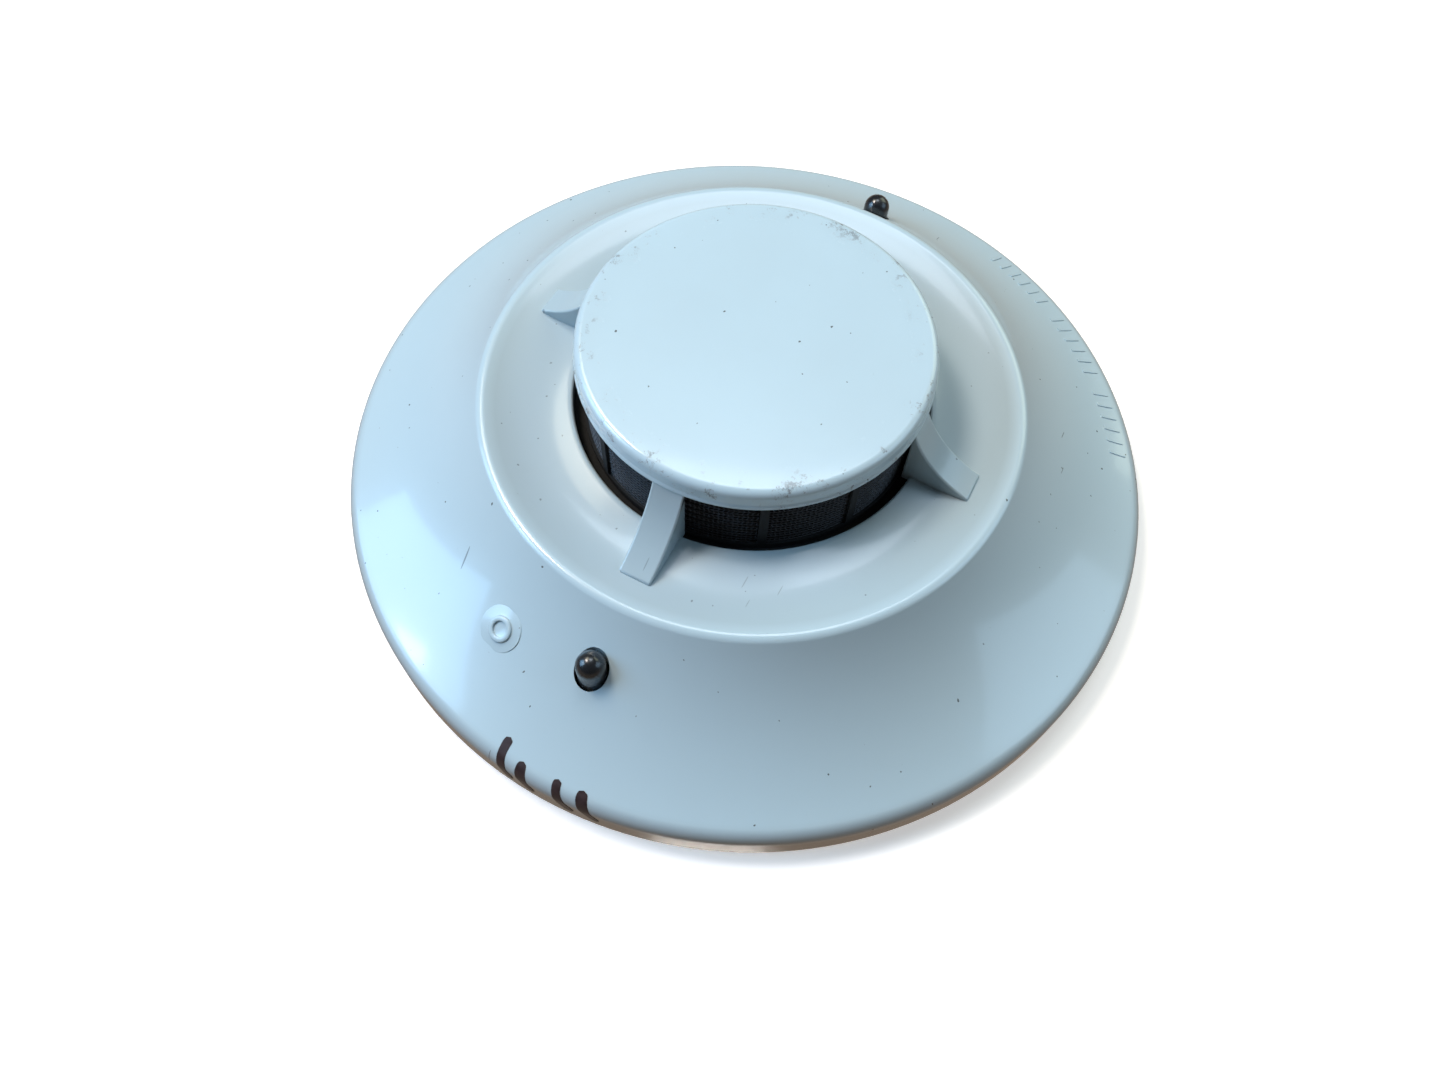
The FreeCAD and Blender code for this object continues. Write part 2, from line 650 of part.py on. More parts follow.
def circuit_board():
    """Round board with holes for screws, pegs, emitter leads, rivets, reed and indicator leads."""
    board = rod(BOARD_R, *BOARD_Z)
    low = BOARD_Z[0] - THROUGH
    high = BOARD_Z[1] + THROUGH
    cuts = []
    for azimuth in POST_AZ:
        place = polar(POST_R, azimuth)
        cuts.append(rod(SCREW_R + RUN_GAP, low, high, place.x, place.y))
    for azimuth in PEG_AZ:
        place = polar(PEG_POS_R, azimuth)
        cuts.append(rod(PEG_R + PEG_SLACK, low, high, place.x, place.y))
    for side in (-LEAD_GAP, LEAD_GAP):
        hole = rod(LEAD_R, low, high, OPTIC_R + LEAD_BACK_X, side)
        cuts.append(spun(hole, EMITTER_AZ))
    for end in (-1, 1):
        hole = rod(REED_LEAD_R, low, high, 0, end * (REED_LENGTH / 2 + REED_LEAD_REACH))
        cuts.append(on_board(hole, REED_PLACE))
    for y in (-LED_R, LED_R):
        for x in (-LEAD_GAP, LEAD_GAP):
            cuts.append(rod(LEAD_R, low, high, x, y))
    return board.cut(cuts)


def electrolytic_capacitor():
    """Upright can with a rolled groove near its foot."""
    can = rod(CAPACITOR_R, BOARD_Z[1], BOARD_Z[1] + CAPACITOR_H)
    groove_centre = FreeCAD.Vector(0, 0, BOARD_Z[1] + CAPACITOR_GROOVE_LIFT)
    groove = Part.makeTorus(CAPACITOR_R, CAPACITOR_GROOVE_R, groove_centre)
    return on_board(can.cut(groove), CAPACITOR_PLACE)


def crystal():
    """Flat metal crystal can with round ends."""
    length, width, height = CRYSTAL_SIZE
    half = (length - width) / 2
    body = centred(2 * half, width, BOARD_Z[1], BOARD_Z[1] + height)
    ends = [rod(width / 2, BOARD_Z[1], BOARD_Z[1] + height, x, 0) for x in (-half, half)]
    return on_board(joined([body] + ends), CRYSTAL_PLACE, QUARTER_TURN)


def reed_switch():
    """Glass reed switch lying under the raised ring, worked by a test magnet."""
    end = FreeCAD.Vector(0, -REED_LENGTH / 2, BOARD_Z[1] + REED_LIFT)
    glass = Part.makeCylinder(REED_R, REED_LENGTH, end, FreeCAD.Vector(0, 1, 0))
    return on_board(glass, REED_PLACE)


def reed_leads():
    leads = []
    for end in (-1, 1):
        start = FreeCAD.Vector(0, end * REED_LENGTH / 2, BOARD_Z[1] + REED_LIFT)
        reach = Part.makeCylinder(REED_REACH_R, REED_LEAD_REACH, start, FreeCAD.Vector(0, end, 0))
        drop = rod(REED_LEAD_R, BOARD_Z[0], BOARD_Z[1] + REED_LIFT + REED_LEAD_R, 0,
                   end * (REED_LENGTH / 2 + REED_LEAD_REACH))
        leads.append(on_board(joined([reach, drop]), REED_PLACE))
    return group(leads)


def status_led(y):
    """Upright smoked indicator with a domed top and a foot flange."""
    straight_top = LED_TOP_Z - LED_LENS_R
    body = rod(LED_LENS_R, LED_FOOT_Z, straight_top, 0, y)
    dome = Part.makeSphere(LED_LENS_R, FreeCAD.Vector(0, y, straight_top))
    flange = rod(LED_FLANGE_R - RUN_GAP, LED_FOOT_Z, LED_FOOT_Z + LED_FLANGE_H, 0, y)
    return joined([body, dome, flange])


def led_spacers():
    """Round spacers that hold the indicators off the board."""
    spacers = []
    for y in (-LED_R, LED_R):
        ring = rod(LED_FLANGE_R, BOARD_Z[1], LED_FOOT_Z, 0, y)
        holes = [rod(LEAD_R, BOARD_Z[1] - THROUGH, LED_FOOT_Z + THROUGH, x, y) for x in (-LEAD_GAP, LEAD_GAP)]
        spacers.append(ring.cut(holes))
    return group(spacers)


def led_leads():
    leads = []
    for y in (-LED_R, LED_R):
        for x in (-LEAD_GAP, LEAD_GAP):
            leads.append(rod(LEAD_R, BOARD_Z[0], LED_FOOT_Z, x, y))
    return group(leads)


def board_screws():
    """Three pan-head screws from the board down into the housing's posts."""
    screws = []
    for azimuth in POST_AZ:
        place = polar(POST_R, azimuth)
        head_top = BOARD_Z[1] + SCREW_HEAD_H
        shank = rod(SCREW_R, SCREW_TIP_Z, BOARD_Z[1] + RUN_GAP, place.x, place.y)
        head = rod(SCREW_HEAD_R, BOARD_Z[1], head_top, place.x, place.y)
        cross_foot = head_top - SCREW_CROSS_DEEP
        cross_top = head_top + THROUGH
        slot = centred(2 * SCREW_HEAD_R, SCREW_CROSS_W, cross_foot, cross_top, place.x, place.y)
        cross = centred(SCREW_CROSS_W, 2 * SCREW_HEAD_R, cross_foot, cross_top, place.x, place.y)
        top_edges = [edge for edge in head.Edges if edge.BoundBox.ZMin > BOARD_Z[1] + RUN_GAP]
        rounded = head.makeFillet(SCREW_HEAD_H / 2, top_edges)
        screws.append(joined([shank, rounded]).cut([slot, cross]))
    return group(screws)


# ---- back housing ------------------------------------------------------------------------------------------

def bayonet_slot():
    """An L-shaped slot through the spigot ring: a mouth at its foot and a run along it."""
    inner = SPIGOT_R - SPIGOT_T - THROUGH
    outer = SPIGOT_R + THROUGH
    start = -SLOT_MOUTH_W / 2
    mouth = block(inner, outer, start, start + SLOT_MOUTH_W, -THROUGH, PLATE_Z[0])
    run = block(inner, outer, start, start + SLOT_RUN_W, PLATE_Z[0] - SLOT_RUN_H, PLATE_Z[0])
    return mouth.fuse(run)


def back_housing():
    """Back plate with the spigot ring, board posts, latch slots and openings for the address switches."""
    plate = rod(PLATE_R, *PLATE_Z)
    spigot = tube(SPIGOT_R, SPIGOT_R - SPIGOT_T, 0, PLATE_Z[0])
    posts = []
    cuts = []
    for azimuth in POST_AZ:
        place = polar(POST_R, azimuth)
        posts.append(rod(POST_OUTER_R, PLATE_Z[1], BOARD_Z[0], place.x, place.y))
        cuts.append(rod(SCREW_R, SCREW_TIP_Z, BOARD_Z[0] + THROUGH, place.x, place.y))
    for index in range(SLOT_COUNT):
        cuts.append(spun(bayonet_slot(), SLOT_FIRST_AZ + index * FULL_TURN / SLOT_COUNT))
    for azimuth in TAB_AZ:
        slot = block(TAB_R - TAB_T / 2 - TAB_SLOT_IN, TAB_R + TAB_T / 2 + TAB_NOSE + TAB_SLOT_OUT,
                     -TAB_SLOT_W / 2, TAB_SLOT_W / 2, PLATE_Z[0] - THROUGH, PLATE_Z[1] + THROUGH)
        cuts.append(spun(slot, azimuth))
    window = SWITCH_SIDE + 2 * SWITCH_WINDOW_GAP
    for x in (-SWITCH_X, SWITCH_X):
        cuts.append(centred(window, window, PLATE_Z[0] - THROUGH, PLATE_Z[1] + THROUGH, x, 0))
    for azimuth in BLADE_AZ:
        place = polar(BLADE_POS_R, azimuth)
        cuts.append(rod(RIVET_R, PLATE_Z[0] - THROUGH, PLATE_Z[1] + THROUGH, place.x, place.y))
    return joined([plate, spigot] + posts).cut(cuts)


def terminal_blades():
    """Four brass contacts: a riveted foot and a short tab standing down from its edge."""
    length, width, thick = BLADE_FOOT
    top = PLATE_Z[0]
    foot = centred(length, width, top - thick, top)
    tab = block(-length / 2, length / 2, width / 2 - thick, width / 2, BLADE_TAB_Z, top)
    hole = rod(RIVET_R, top - thick - THROUGH, top + THROUGH)
    blade = joined([foot, tab]).cut(hole)
    return group([placed(blade, BLADE_POS_R, azimuth, QUARTER_TURN) for azimuth in BLADE_AZ])


def terminal_rivets():
    """Rivets that hold the contacts and carry them up to the board."""
    head_top = PLATE_Z[0] - BLADE_FOOT[2]
    shank = rod(RIVET_R, head_top - RUN_GAP, BOARD_Z[0])
    head = rod(RIVET_HEAD_R, head_top - RIVET_HEAD_H, head_top)
    rivet = joined([shank, head])
    return group([placed(rivet, BLADE_POS_R, azimuth) for azimuth in BLADE_AZ])


def switch_body(x):
    """Body of one rotary address switch, hanging from the board into the plate's window."""
    body = centred(SWITCH_SIDE, SWITCH_SIDE, SWITCH_FOOT_Z, BOARD_Z[0], x, 0)
    pocket = rod(DIAL_POCKET_R, SWITCH_FOOT_Z - THROUGH, DIAL_POCKET_TOP_Z, x, 0)
    bore = rod(DIAL_STEM_R + DIAL_STEM_GAP, SWITCH_FOOT_Z, DIAL_STEM_TOP_Z + RUN_GAP + RUN_GAP, x, 0)
    return body.cut([pocket, bore])


def dial(x):
    """Slotted dial of one rotary address switch, with a pointer notch and a stem."""
    low, high = DIAL_Z
    disc = rod(DIAL_R, low, high)
    stem = rod(DIAL_STEM_R, high - RUN_GAP, DIAL_STEM_TOP_Z)
    length, width, deep = DIAL_POINTER
    slot = centred(2 * (DIAL_R - length), DIAL_SLOT_W, low - THROUGH, low + DIAL_SLOT_DEEP)
    pointer = centred(length, width, low - THROUGH, low + deep, DIAL_R - length / 2, 0)
    made = joined([disc, stem]).cut([slot, pointer])
    made.translate(FreeCAD.Vector(x, 0, 0))
    return made


def back_label():
    """Blank label on the back plate."""
    length, width, thick = LABEL_SIZE
    return centred(length, width, PLATE_Z[0] - thick, PLATE_Z[0], 0, LABEL_Y)


# ---- all the pieces ----------------------------------------------------------------------------------------

def build():
    return {
        "cover": cover(),
        "insect_screen": insect_screen(),
        "screen_mesh": screen_mesh(),
        "chamber_cover": chamber_cover(),
        "chamber_base": chamber_base(),
        "infrared_emitter": infrared_emitter(),
        "emitter_leads": emitter_leads(),
        "emitter_clip": emitter_clip(),
        "photodiode": photodiode(),
        "photodiode_lens": photodiode_lens(),
        "photodiode_shield": photodiode_shield(),
        "circuit_board": circuit_board(),
        "status_led_front": status_led(-LED_R),
        "status_led_rear": status_led(LED_R),
        "led_spacers": led_spacers(),
        "led_leads": led_leads(),
        "microcontroller": chips(CONTROLLER_SIZE, [CONTROLLER_PLACE]),
        "electrolytic_capacitor": electrolytic_capacitor(),
        "bridge_rectifier": chips(BRIDGE_SIZE, [BRIDGE_PLACE], QUARTER_TURN),
        "chip_resistors": chips(CHIP_SIZE, CHIP_PLACES),
        "chip_capacitors": chips(CAPACITOR_CHIP_SIZE, CAPACITOR_CHIP_PLACES, QUARTER_TURN),
        "transistors": chips(TRANSISTOR_SIZE, TRANSISTOR_PLACES),
        "surge_diodes": chips(SURGE_SIZE, SURGE_PLACES, QUARTER_TURN),
        "crystal": crystal(),
        "reed_switch": reed_switch(),
        "reed_leads": reed_leads(),
        "board_screws": board_screws(),
        "back_housing": back_housing(),
        "terminal_blades": terminal_blades(),
        "terminal_rivets": terminal_rivets(),
        "tens_switch_body": switch_body(-SWITCH_X),
        "units_switch_body": switch_body(SWITCH_X),
        "tens_dial": dial(-SWITCH_X),
        "units_dial": dial(SWITCH_X),
        "back_label": back_label(),
    }


os.makedirs("parts", exist_ok=True)
for name, shape in build().items():
    solids = len(shape.Solids)
    print(f"{name:24s} solids {solids:2d} valid {shape.isValid()} volume {shape.Volume:9.2f}")
    shape.exportStep(f"parts/{name}.step")
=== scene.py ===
"""Looks of a plug-in smoke detector head: pieces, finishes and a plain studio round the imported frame."""

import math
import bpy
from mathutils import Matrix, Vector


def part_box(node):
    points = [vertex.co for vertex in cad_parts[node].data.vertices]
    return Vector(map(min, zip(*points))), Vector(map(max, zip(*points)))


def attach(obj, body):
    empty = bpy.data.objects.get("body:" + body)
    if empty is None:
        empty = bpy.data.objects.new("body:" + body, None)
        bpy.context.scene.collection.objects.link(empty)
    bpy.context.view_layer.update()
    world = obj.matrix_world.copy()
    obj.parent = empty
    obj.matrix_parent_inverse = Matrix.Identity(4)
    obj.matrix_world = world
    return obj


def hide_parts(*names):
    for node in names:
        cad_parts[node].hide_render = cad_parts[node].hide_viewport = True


bl_info = {
    "name": "Smoke Detector Head",
    "version": (1, 0, 0),
    "blender": (4, 5, 0),
    "location": "3D View > Sidebar > Detector",
    "description": "Builds the looks of a plug-in smoke detector head around its fixed frame",
    "category": "Add Mesh",
}

import bmesh
import bpy
from bpy.props import FloatProperty, FloatVectorProperty, IntProperty, PointerProperty
from mathutils import Matrix, Vector

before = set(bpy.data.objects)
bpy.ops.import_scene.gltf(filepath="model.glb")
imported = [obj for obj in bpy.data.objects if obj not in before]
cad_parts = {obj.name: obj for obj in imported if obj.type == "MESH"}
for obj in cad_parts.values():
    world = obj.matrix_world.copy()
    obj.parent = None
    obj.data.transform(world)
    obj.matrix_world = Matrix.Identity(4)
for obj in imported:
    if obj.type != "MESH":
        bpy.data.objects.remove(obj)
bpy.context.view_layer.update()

MM = 0.001
FULL_TURN = 2 * math.pi
QUARTER_TURN = FULL_TURN / 4
CRISP_ANGLE = math.radians(32)
SMALL_STEPS = 48
WELD = 0.001 * MM
COVER_LOW, COVER_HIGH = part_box("cover")


# ---- what a user would change --------------------------------------------------------------------

class CoverSizes(bpy.types.PropertyGroup):
    """Driving sizes of the white cover, read from the frame where the frame has them."""

    wall_radius: FloatProperty(
        name="Wall radius", description="Outside radius of the upright wall",
        default=COVER_HIGH.x, unit="LENGTH")
    foot_height: FloatProperty(
        name="Foot height", description="Height of the wall's lower edge",
        default=COVER_LOW.z, unit="LENGTH")
    rim_round: FloatProperty(
        name="Rim round", description="Radius of the round between wall and skirt",
        default=2.15 * MM, unit="LENGTH")
    rim_height: FloatProperty(
        name="Rim height", description="Height at which the wall turns into the rim",
        default=3.85 * MM, unit="LENGTH")
    skirt_foot_slope: FloatProperty(
        name="Skirt foot slope", description="Fall of the skirt where it meets the rim",
        default=math.radians(21.5), subtype="ANGLE")
    skirt_top_slope: FloatProperty(
        name="Skirt top slope", description="Fall of the skirt just outside the ridge",
        default=math.radians(51.3), subtype="ANGLE")
    ridge_radius: FloatProperty(
        name="Ridge radius", description="Radius of the ridge round the dish",
        default=32.75 * MM, unit="LENGTH")
    ridge_height: FloatProperty(
        name="Ridge height", description="Height of the ridge's top",
        default=18.6 * MM, unit="LENGTH")
    ridge_round: FloatProperty(
        name="Ridge round", description="Radius of the ridge's rounded top",
        default=1.2 * MM, unit="LENGTH")
    dish_edge_slope: FloatProperty(
        name="Dish edge slope", description="Fall of the dish just inside the ridge",
        default=math.radians(20), subtype="ANGLE")
    dish_low_radius: FloatProperty(
        name="Dish low radius", description="Radius at which the dish is lowest",
        default=26.3 * MM, unit="LENGTH")
    dish_low_height: FloatProperty(
        name="Dish low height", description="Height of the dish's lowest circle",
        default=17.5 * MM, unit="LENGTH")
    mouth_radius: FloatProperty(
        name="Mouth radius", description="Radius of the hole under the cap",
        default=21.9 * MM, unit="LENGTH")
    mouth_height: FloatProperty(
        name="Mouth height", description="Height of the dish at the hole's edge",
        default=17.75 * MM, unit="LENGTH")
    mouth_round: FloatProperty(
        name="Mouth round", description="Radius of the hole's rounded edge",
        default=0.35 * MM, unit="LENGTH")
    skin: FloatProperty(
        name="Skin", description="Thickness of the moulding",
        default=1.7 * MM, unit="LENGTH")
    indicator_hole: FloatProperty(
        name="Indicator hole", description="Radius of the hole round each indicator",
        default=2.05 * MM, unit="LENGTH")
    steps: IntProperty(
        name="Steps", description="Facets round a full turn of the large turned pieces",
        default=192, min=24)


class CapSizes(bpy.types.PropertyGroup):
    """Driving sizes of the round cap and the ribs that carry it."""

    radius: FloatProperty(
        name="Radius", description="Radius of the cap's side",
        default=21.0 * MM, unit="LENGTH")
    bead_radius: FloatProperty(
        name="Bead radius", description="Radius of the thin bead at the cap's foot",
        default=21.2 * MM, unit="LENGTH")
    bead_height: FloatProperty(
        name="Bead height", description="Height of that bead",
        default=0.75 * MM, unit="LENGTH")
    top_height: FloatProperty(
        name="Top height", description="Height of the cap's top",
        default=COVER_HIGH.z, unit="LENGTH")
    foot_height: FloatProperty(
        name="Foot height", description="Height of the cap's lower edge",
        default=25.3 * MM, unit="LENGTH")
    edge_round: FloatProperty(
        name="Edge round", description="Radius of the cap's rounded top edge",
        default=1.0 * MM, unit="LENGTH")
    roof: FloatProperty(
        name="Roof", description="Thickness of the cap's roof",
        default=1.8 * MM, unit="LENGTH")
    lip_radius: FloatProperty(
        name="Lip radius", description="Inside radius of the cap's lip",
        default=19.9 * MM, unit="LENGTH")
    rib_thickness: FloatProperty(
        name="Rib thickness", description="Thickness of each rib",
        default=4.0 * MM, unit="LENGTH")
    rib_inner_radius: FloatProperty(
        name="Rib inner radius", description="Radius of each rib's upright inner face",
        default=20.8 * MM, unit="LENGTH")
    rib_foot_radius: FloatProperty(
        name="Rib foot radius", description="Radius of each rib's end on the dish",
        default=29.1 * MM, unit="LENGTH")
    rib_foot_height: FloatProperty(
        name="Rib foot height", description="Height of each rib's end on the dish",
        default=18.1 * MM, unit="LENGTH")
    rib_hollow: FloatProperty(
        name="Rib hollow", description="How far each rib's back sinks below a straight line",
        default=1.2 * MM, unit="LENGTH")
    rib_edge: FloatProperty(
        name="Rib edge", description="Radius of each rib's softened edges",
        default=0.22 * MM, unit="LENGTH")


class FinishColours(bpy.types.PropertyGroup):
    """Colours of the visible finishes."""

    white: FloatVectorProperty(
        name="White", description="White moulding",
        subtype="COLOR", size=3, min=0, max=1, default=(0.520, 0.655, 0.715))
    white_worn: FloatVectorProperty(
        name="Worn white", description="Aged areas of the white moulding",
        subtype="COLOR", size=3, min=0, max=1, default=(0.500, 0.610, 0.655))
    # Painted light: the cap is the same moulding as the cover but gets a lighter copy of its white.
    lit_cap_white: FloatVectorProperty(
        name="Lit cap white", description="White of the handled cap",
        subtype="COLOR", size=3, min=0, max=1, default=(0.570, 0.720, 0.790))
    black: FloatVectorProperty(
        name="Black", description="Black mouldings",
        subtype="COLOR", size=3, min=0, max=1, default=(0.008, 0.008, 0.009))
    smoke: FloatVectorProperty(
        name="Smoke", description="Smoked indicator lens",
        subtype="COLOR", size=3, min=0, max=1, default=(0.014, 0.015, 0.018))
    ink: FloatVectorProperty(
        name="Ink", description="Marker ink",
        subtype="COLOR", size=3, min=0, max=1, default=(0.022, 0.012, 0.012))
    board: FloatVectorProperty(
        name="Board", description="Solder resist",
        subtype="COLOR", size=3, min=0, max=1, default=(0.012, 0.115, 0.045))


class StageSettings(bpy.types.PropertyGroup):
    """Camera, lights and floor."""

    camera_place: FloatVectorProperty(
        name="Camera place", description="Where the camera stands",
        subtype="TRANSLATION", size=3, unit="LENGTH", default=(0.03053, -0.07239, 0.12687))
    camera_aim: FloatVectorProperty(
        name="Camera aim", description="Point the camera looks at",
        subtype="TRANSLATION", size=3, unit="LENGTH", default=(0.00567, -0.0185, 0.014))
    camera_roll: FloatProperty(
        name="Camera roll", description="Turn of the camera about its own axis",
        default=math.radians(3.3), subtype="ANGLE")
    lens: FloatProperty(
        name="Lens", description="Focal length in millimetres on a 36 mm wide sensor", default=27.03)
    sky: FloatProperty(
        name="Sky", description="Strength of the even surrounding light", default=0.065)
    table_glow: FloatProperty(
        name="Table glow", description="Strength of the warm light from below", default=0.3)
    light_distance: FloatProperty(
        name="Light distance", description="How far each soft light stands from the detector",
        default=0.7, unit="LENGTH")
    light_size: FloatProperty(
        name="Light size", description="Side of each square soft light", default=0.4, unit="LENGTH")
    floor_glow: FloatProperty(
        name="Floor glow", description="Light that the floor gives off, as a lit table does", default=0.4)
    backdrop_glow: FloatProperty(
        name="Backdrop glow", description="Brightness of the surroundings behind the floor", default=0.46)
    backdrop_radius: FloatProperty(
        name="Backdrop radius", description="How far off the surroundings stand", default=3.0, unit="LENGTH")


def settings():
    return bpy.context.scene.detector


class DetectorSettings(bpy.types.PropertyGroup):
    """Every setting of the detector."""

    cover: PointerProperty(type=CoverSizes)
    cap: PointerProperty(type=CapSizes)
    colours: PointerProperty(type=FinishColours)
    stage: PointerProperty(type=StageSettings)


# ---- outlines and meshes -------------------------------------------------------------------------

def upright(radius, height):
    """A point of a turned outline, in the XZ plane."""
    return Vector((radius, 0, height))


def on_circle(centre, radius, angle):
    """A point of a turned outline on a circle, at angle above the outward direction."""
    return centre + Vector((radius * math.cos(angle), 0, radius * math.sin(angle)))


def arc_about(centre, radius, start, end, count):
    """Points along a circle from angle start to angle end."""
    return [on_circle(centre, radius, start + (end - start) * i / count) for i in range(count + 1)]


def arc_through(start, middle, end, count):
    """Points along the circle through three points of an outline, from start to end."""
    first = middle - start
    second = end - start
    cross = 2 * (first.x * second.z - first.z * second.x)
    along = (second.z * first.length_squared - first.z * second.length_squared) / cross
    rise = (first.x * second.length_squared - second.x * first.length_squared) / cross
    centre = start + Vector((along, 0, rise))
    reach = start - centre
    begin = math.atan2(reach.z, reach.x)
    halfway = math.atan2(middle.z - centre.z, middle.x - centre.x)
    finish = math.atan2(end.z - centre.z, end.x - centre.x)
    turn = (finish - begin) % FULL_TURN
    if (halfway - begin) % FULL_TURN > turn:
        turn -= FULL_TURN
    return arc_about(centre, reach.length, begin, begin + turn, count)


def hung_middle(start, end, drop):
    """The middle point of an arc that hangs below the line from start to end by drop."""
    chord = end - start
    side = Vector((-chord.z, 0, chord.x)).normalized()
    if side.z > 0:
        side.negate()
    return (start + end) / 2 + side * drop


def strung(*stretches):
    """One outline from several stretches, without doubled points."""
    points = []
    for stretch in stretches:
        for point in stretch:
            if not points or (point - points[-1]).length > WELD:
                points.append(point)
    return points


def new_object(name, mesh):
    piece = bpy.data.objects.new(name, mesh)
    bpy.context.scene.collection.objects.link(piece)
    return piece


def outline_object(name, points, closed):
    """An object that holds only an outline's edges, for the Screw modifier to turn."""
    mesh = bpy.data.meshes.new(name)
    count = len(points)
    edges = [(i, i + 1) for i in range(count - 1)]
    if closed:
        edges.append((count - 1, 0))
    mesh.from_pydata(points, edges, [])
    return new_object(name, mesh)


def turned(name, points, closed, steps):
    """A piece turned about Z from an outline that runs from top to bottom."""
    piece = outline_object(name, points, closed)
    screw = piece.modifiers.new("turn", "SCREW")
    screw.axis = "Z"
    screw.steps = steps
    screw.render_steps = steps
    screw.use_merge_vertices = True
    screw.merge_threshold = WELD
    screw.use_smooth_shade = True
    return piece


def softened(piece, width, segments=2):
    """Rounds a piece's hard edges and evens its shading."""
    bevel = piece.modifiers.new("soft edges", "BEVEL")
    bevel.width = width
    bevel.segments = segments
    bevel.limit_method = "ANGLE"
    bevel.angle_limit = CRISP_ANGLE
    bevel.use_clamp_overlap = True
    even = piece.modifiers.new("even shading", "WEIGHTED_NORMAL")
    even.keep_sharp = True
    return piece


def applied(piece):
    """Replaces a piece's mesh with what its modifiers make of it."""
    graph = bpy.context.evaluated_depsgraph_get()
    graph.update()
    mesh = bpy.data.meshes.new_from_object(piece.evaluated_get(graph))
    piece.modifiers.clear()
    piece.data = mesh
    return piece


def cut_by(piece, cutters):
    """Cuts other objects out of a piece, then removes them."""
    for cutter in cutters:
        cut = piece.modifiers.new("cut", "BOOLEAN")
        cut.operation = "DIFFERENCE"
        cut.solver = "EXACT"
        cut.object = cutter
    applied(piece)
    for cutter in cutters:
        bpy.data.objects.remove(cutter)
    return piece


def shaded(piece, angle=CRISP_ANGLE):
    """Smooth shading that breaks at edges sharper than angle."""
    piece.data.shade_smooth()
    piece.data.set_sharp_from_angle(angle=angle)
    return piece


def mesh_object(name, fill):
    """An object whose mesh the function fill builds in a bmesh."""
    mesh = bpy.data.meshes.new(name)
    work = bmesh.new()
    fill(work)
    bmesh.ops.recalc_face_normals(work, faces=work.faces)
    work.to_mesh(mesh)
    work.free()
    return new_object(name, mesh)


def add_prism(work, points, depth, place):
    """A prism in a bmesh: an outline in XZ, drawn out along Y by depth, centred on Y = 0, then placed."""
    back = Vector((0, depth / 2, 0))
    near = [work.verts.new(place @ (point - back)) for point in points]
    far = [work.verts.new(place @ (point + back)) for point in points]
    work.faces.new(near)
    work.faces.new(list(reversed(far)))
    for i in range(len(points)):
        following = (i + 1) % len(points)
        work.faces.new((near[following], near[i], far[i], far[following]))


def round_rod(name, radius, low, high, place):
    """A plain upright rod at a place, used as a cutter."""
    def fill(work):
        middle = Matrix.Translation((place.x, place.y, (low + high) / 2))
        bmesh.ops.create_cone(work, cap_ends=True, segments=SMALL_STEPS, radius1=radius, radius2=radius,
                              depth=high - low, matrix=middle)
    return mesh_object(name, fill)


def turned_to(azimuth):
    return Matrix.Rotation(azimuth, 4, "Z")


def fit_out(piece, body, material):
    """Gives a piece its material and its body."""
    piece.data.materials.clear()
    piece.data.materials.append(material)
    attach(piece, body)
    return piece


def finish_nodes(names, material):
    """Gives CAD nodes a material."""
    for name in names:
        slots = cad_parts[name].material_slots
        if not slots:
            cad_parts[name].data.materials.append(material)
        for slot in slots:
            slot.material = material


# ---- finishes ------------------------------------------------------------------------------------

def blank_material(name):
    """A node material with nothing in its tree."""
    material = bpy.data.materials.new(name)
    material.use_nodes = True
    material.node_tree.nodes.clear()
    return material


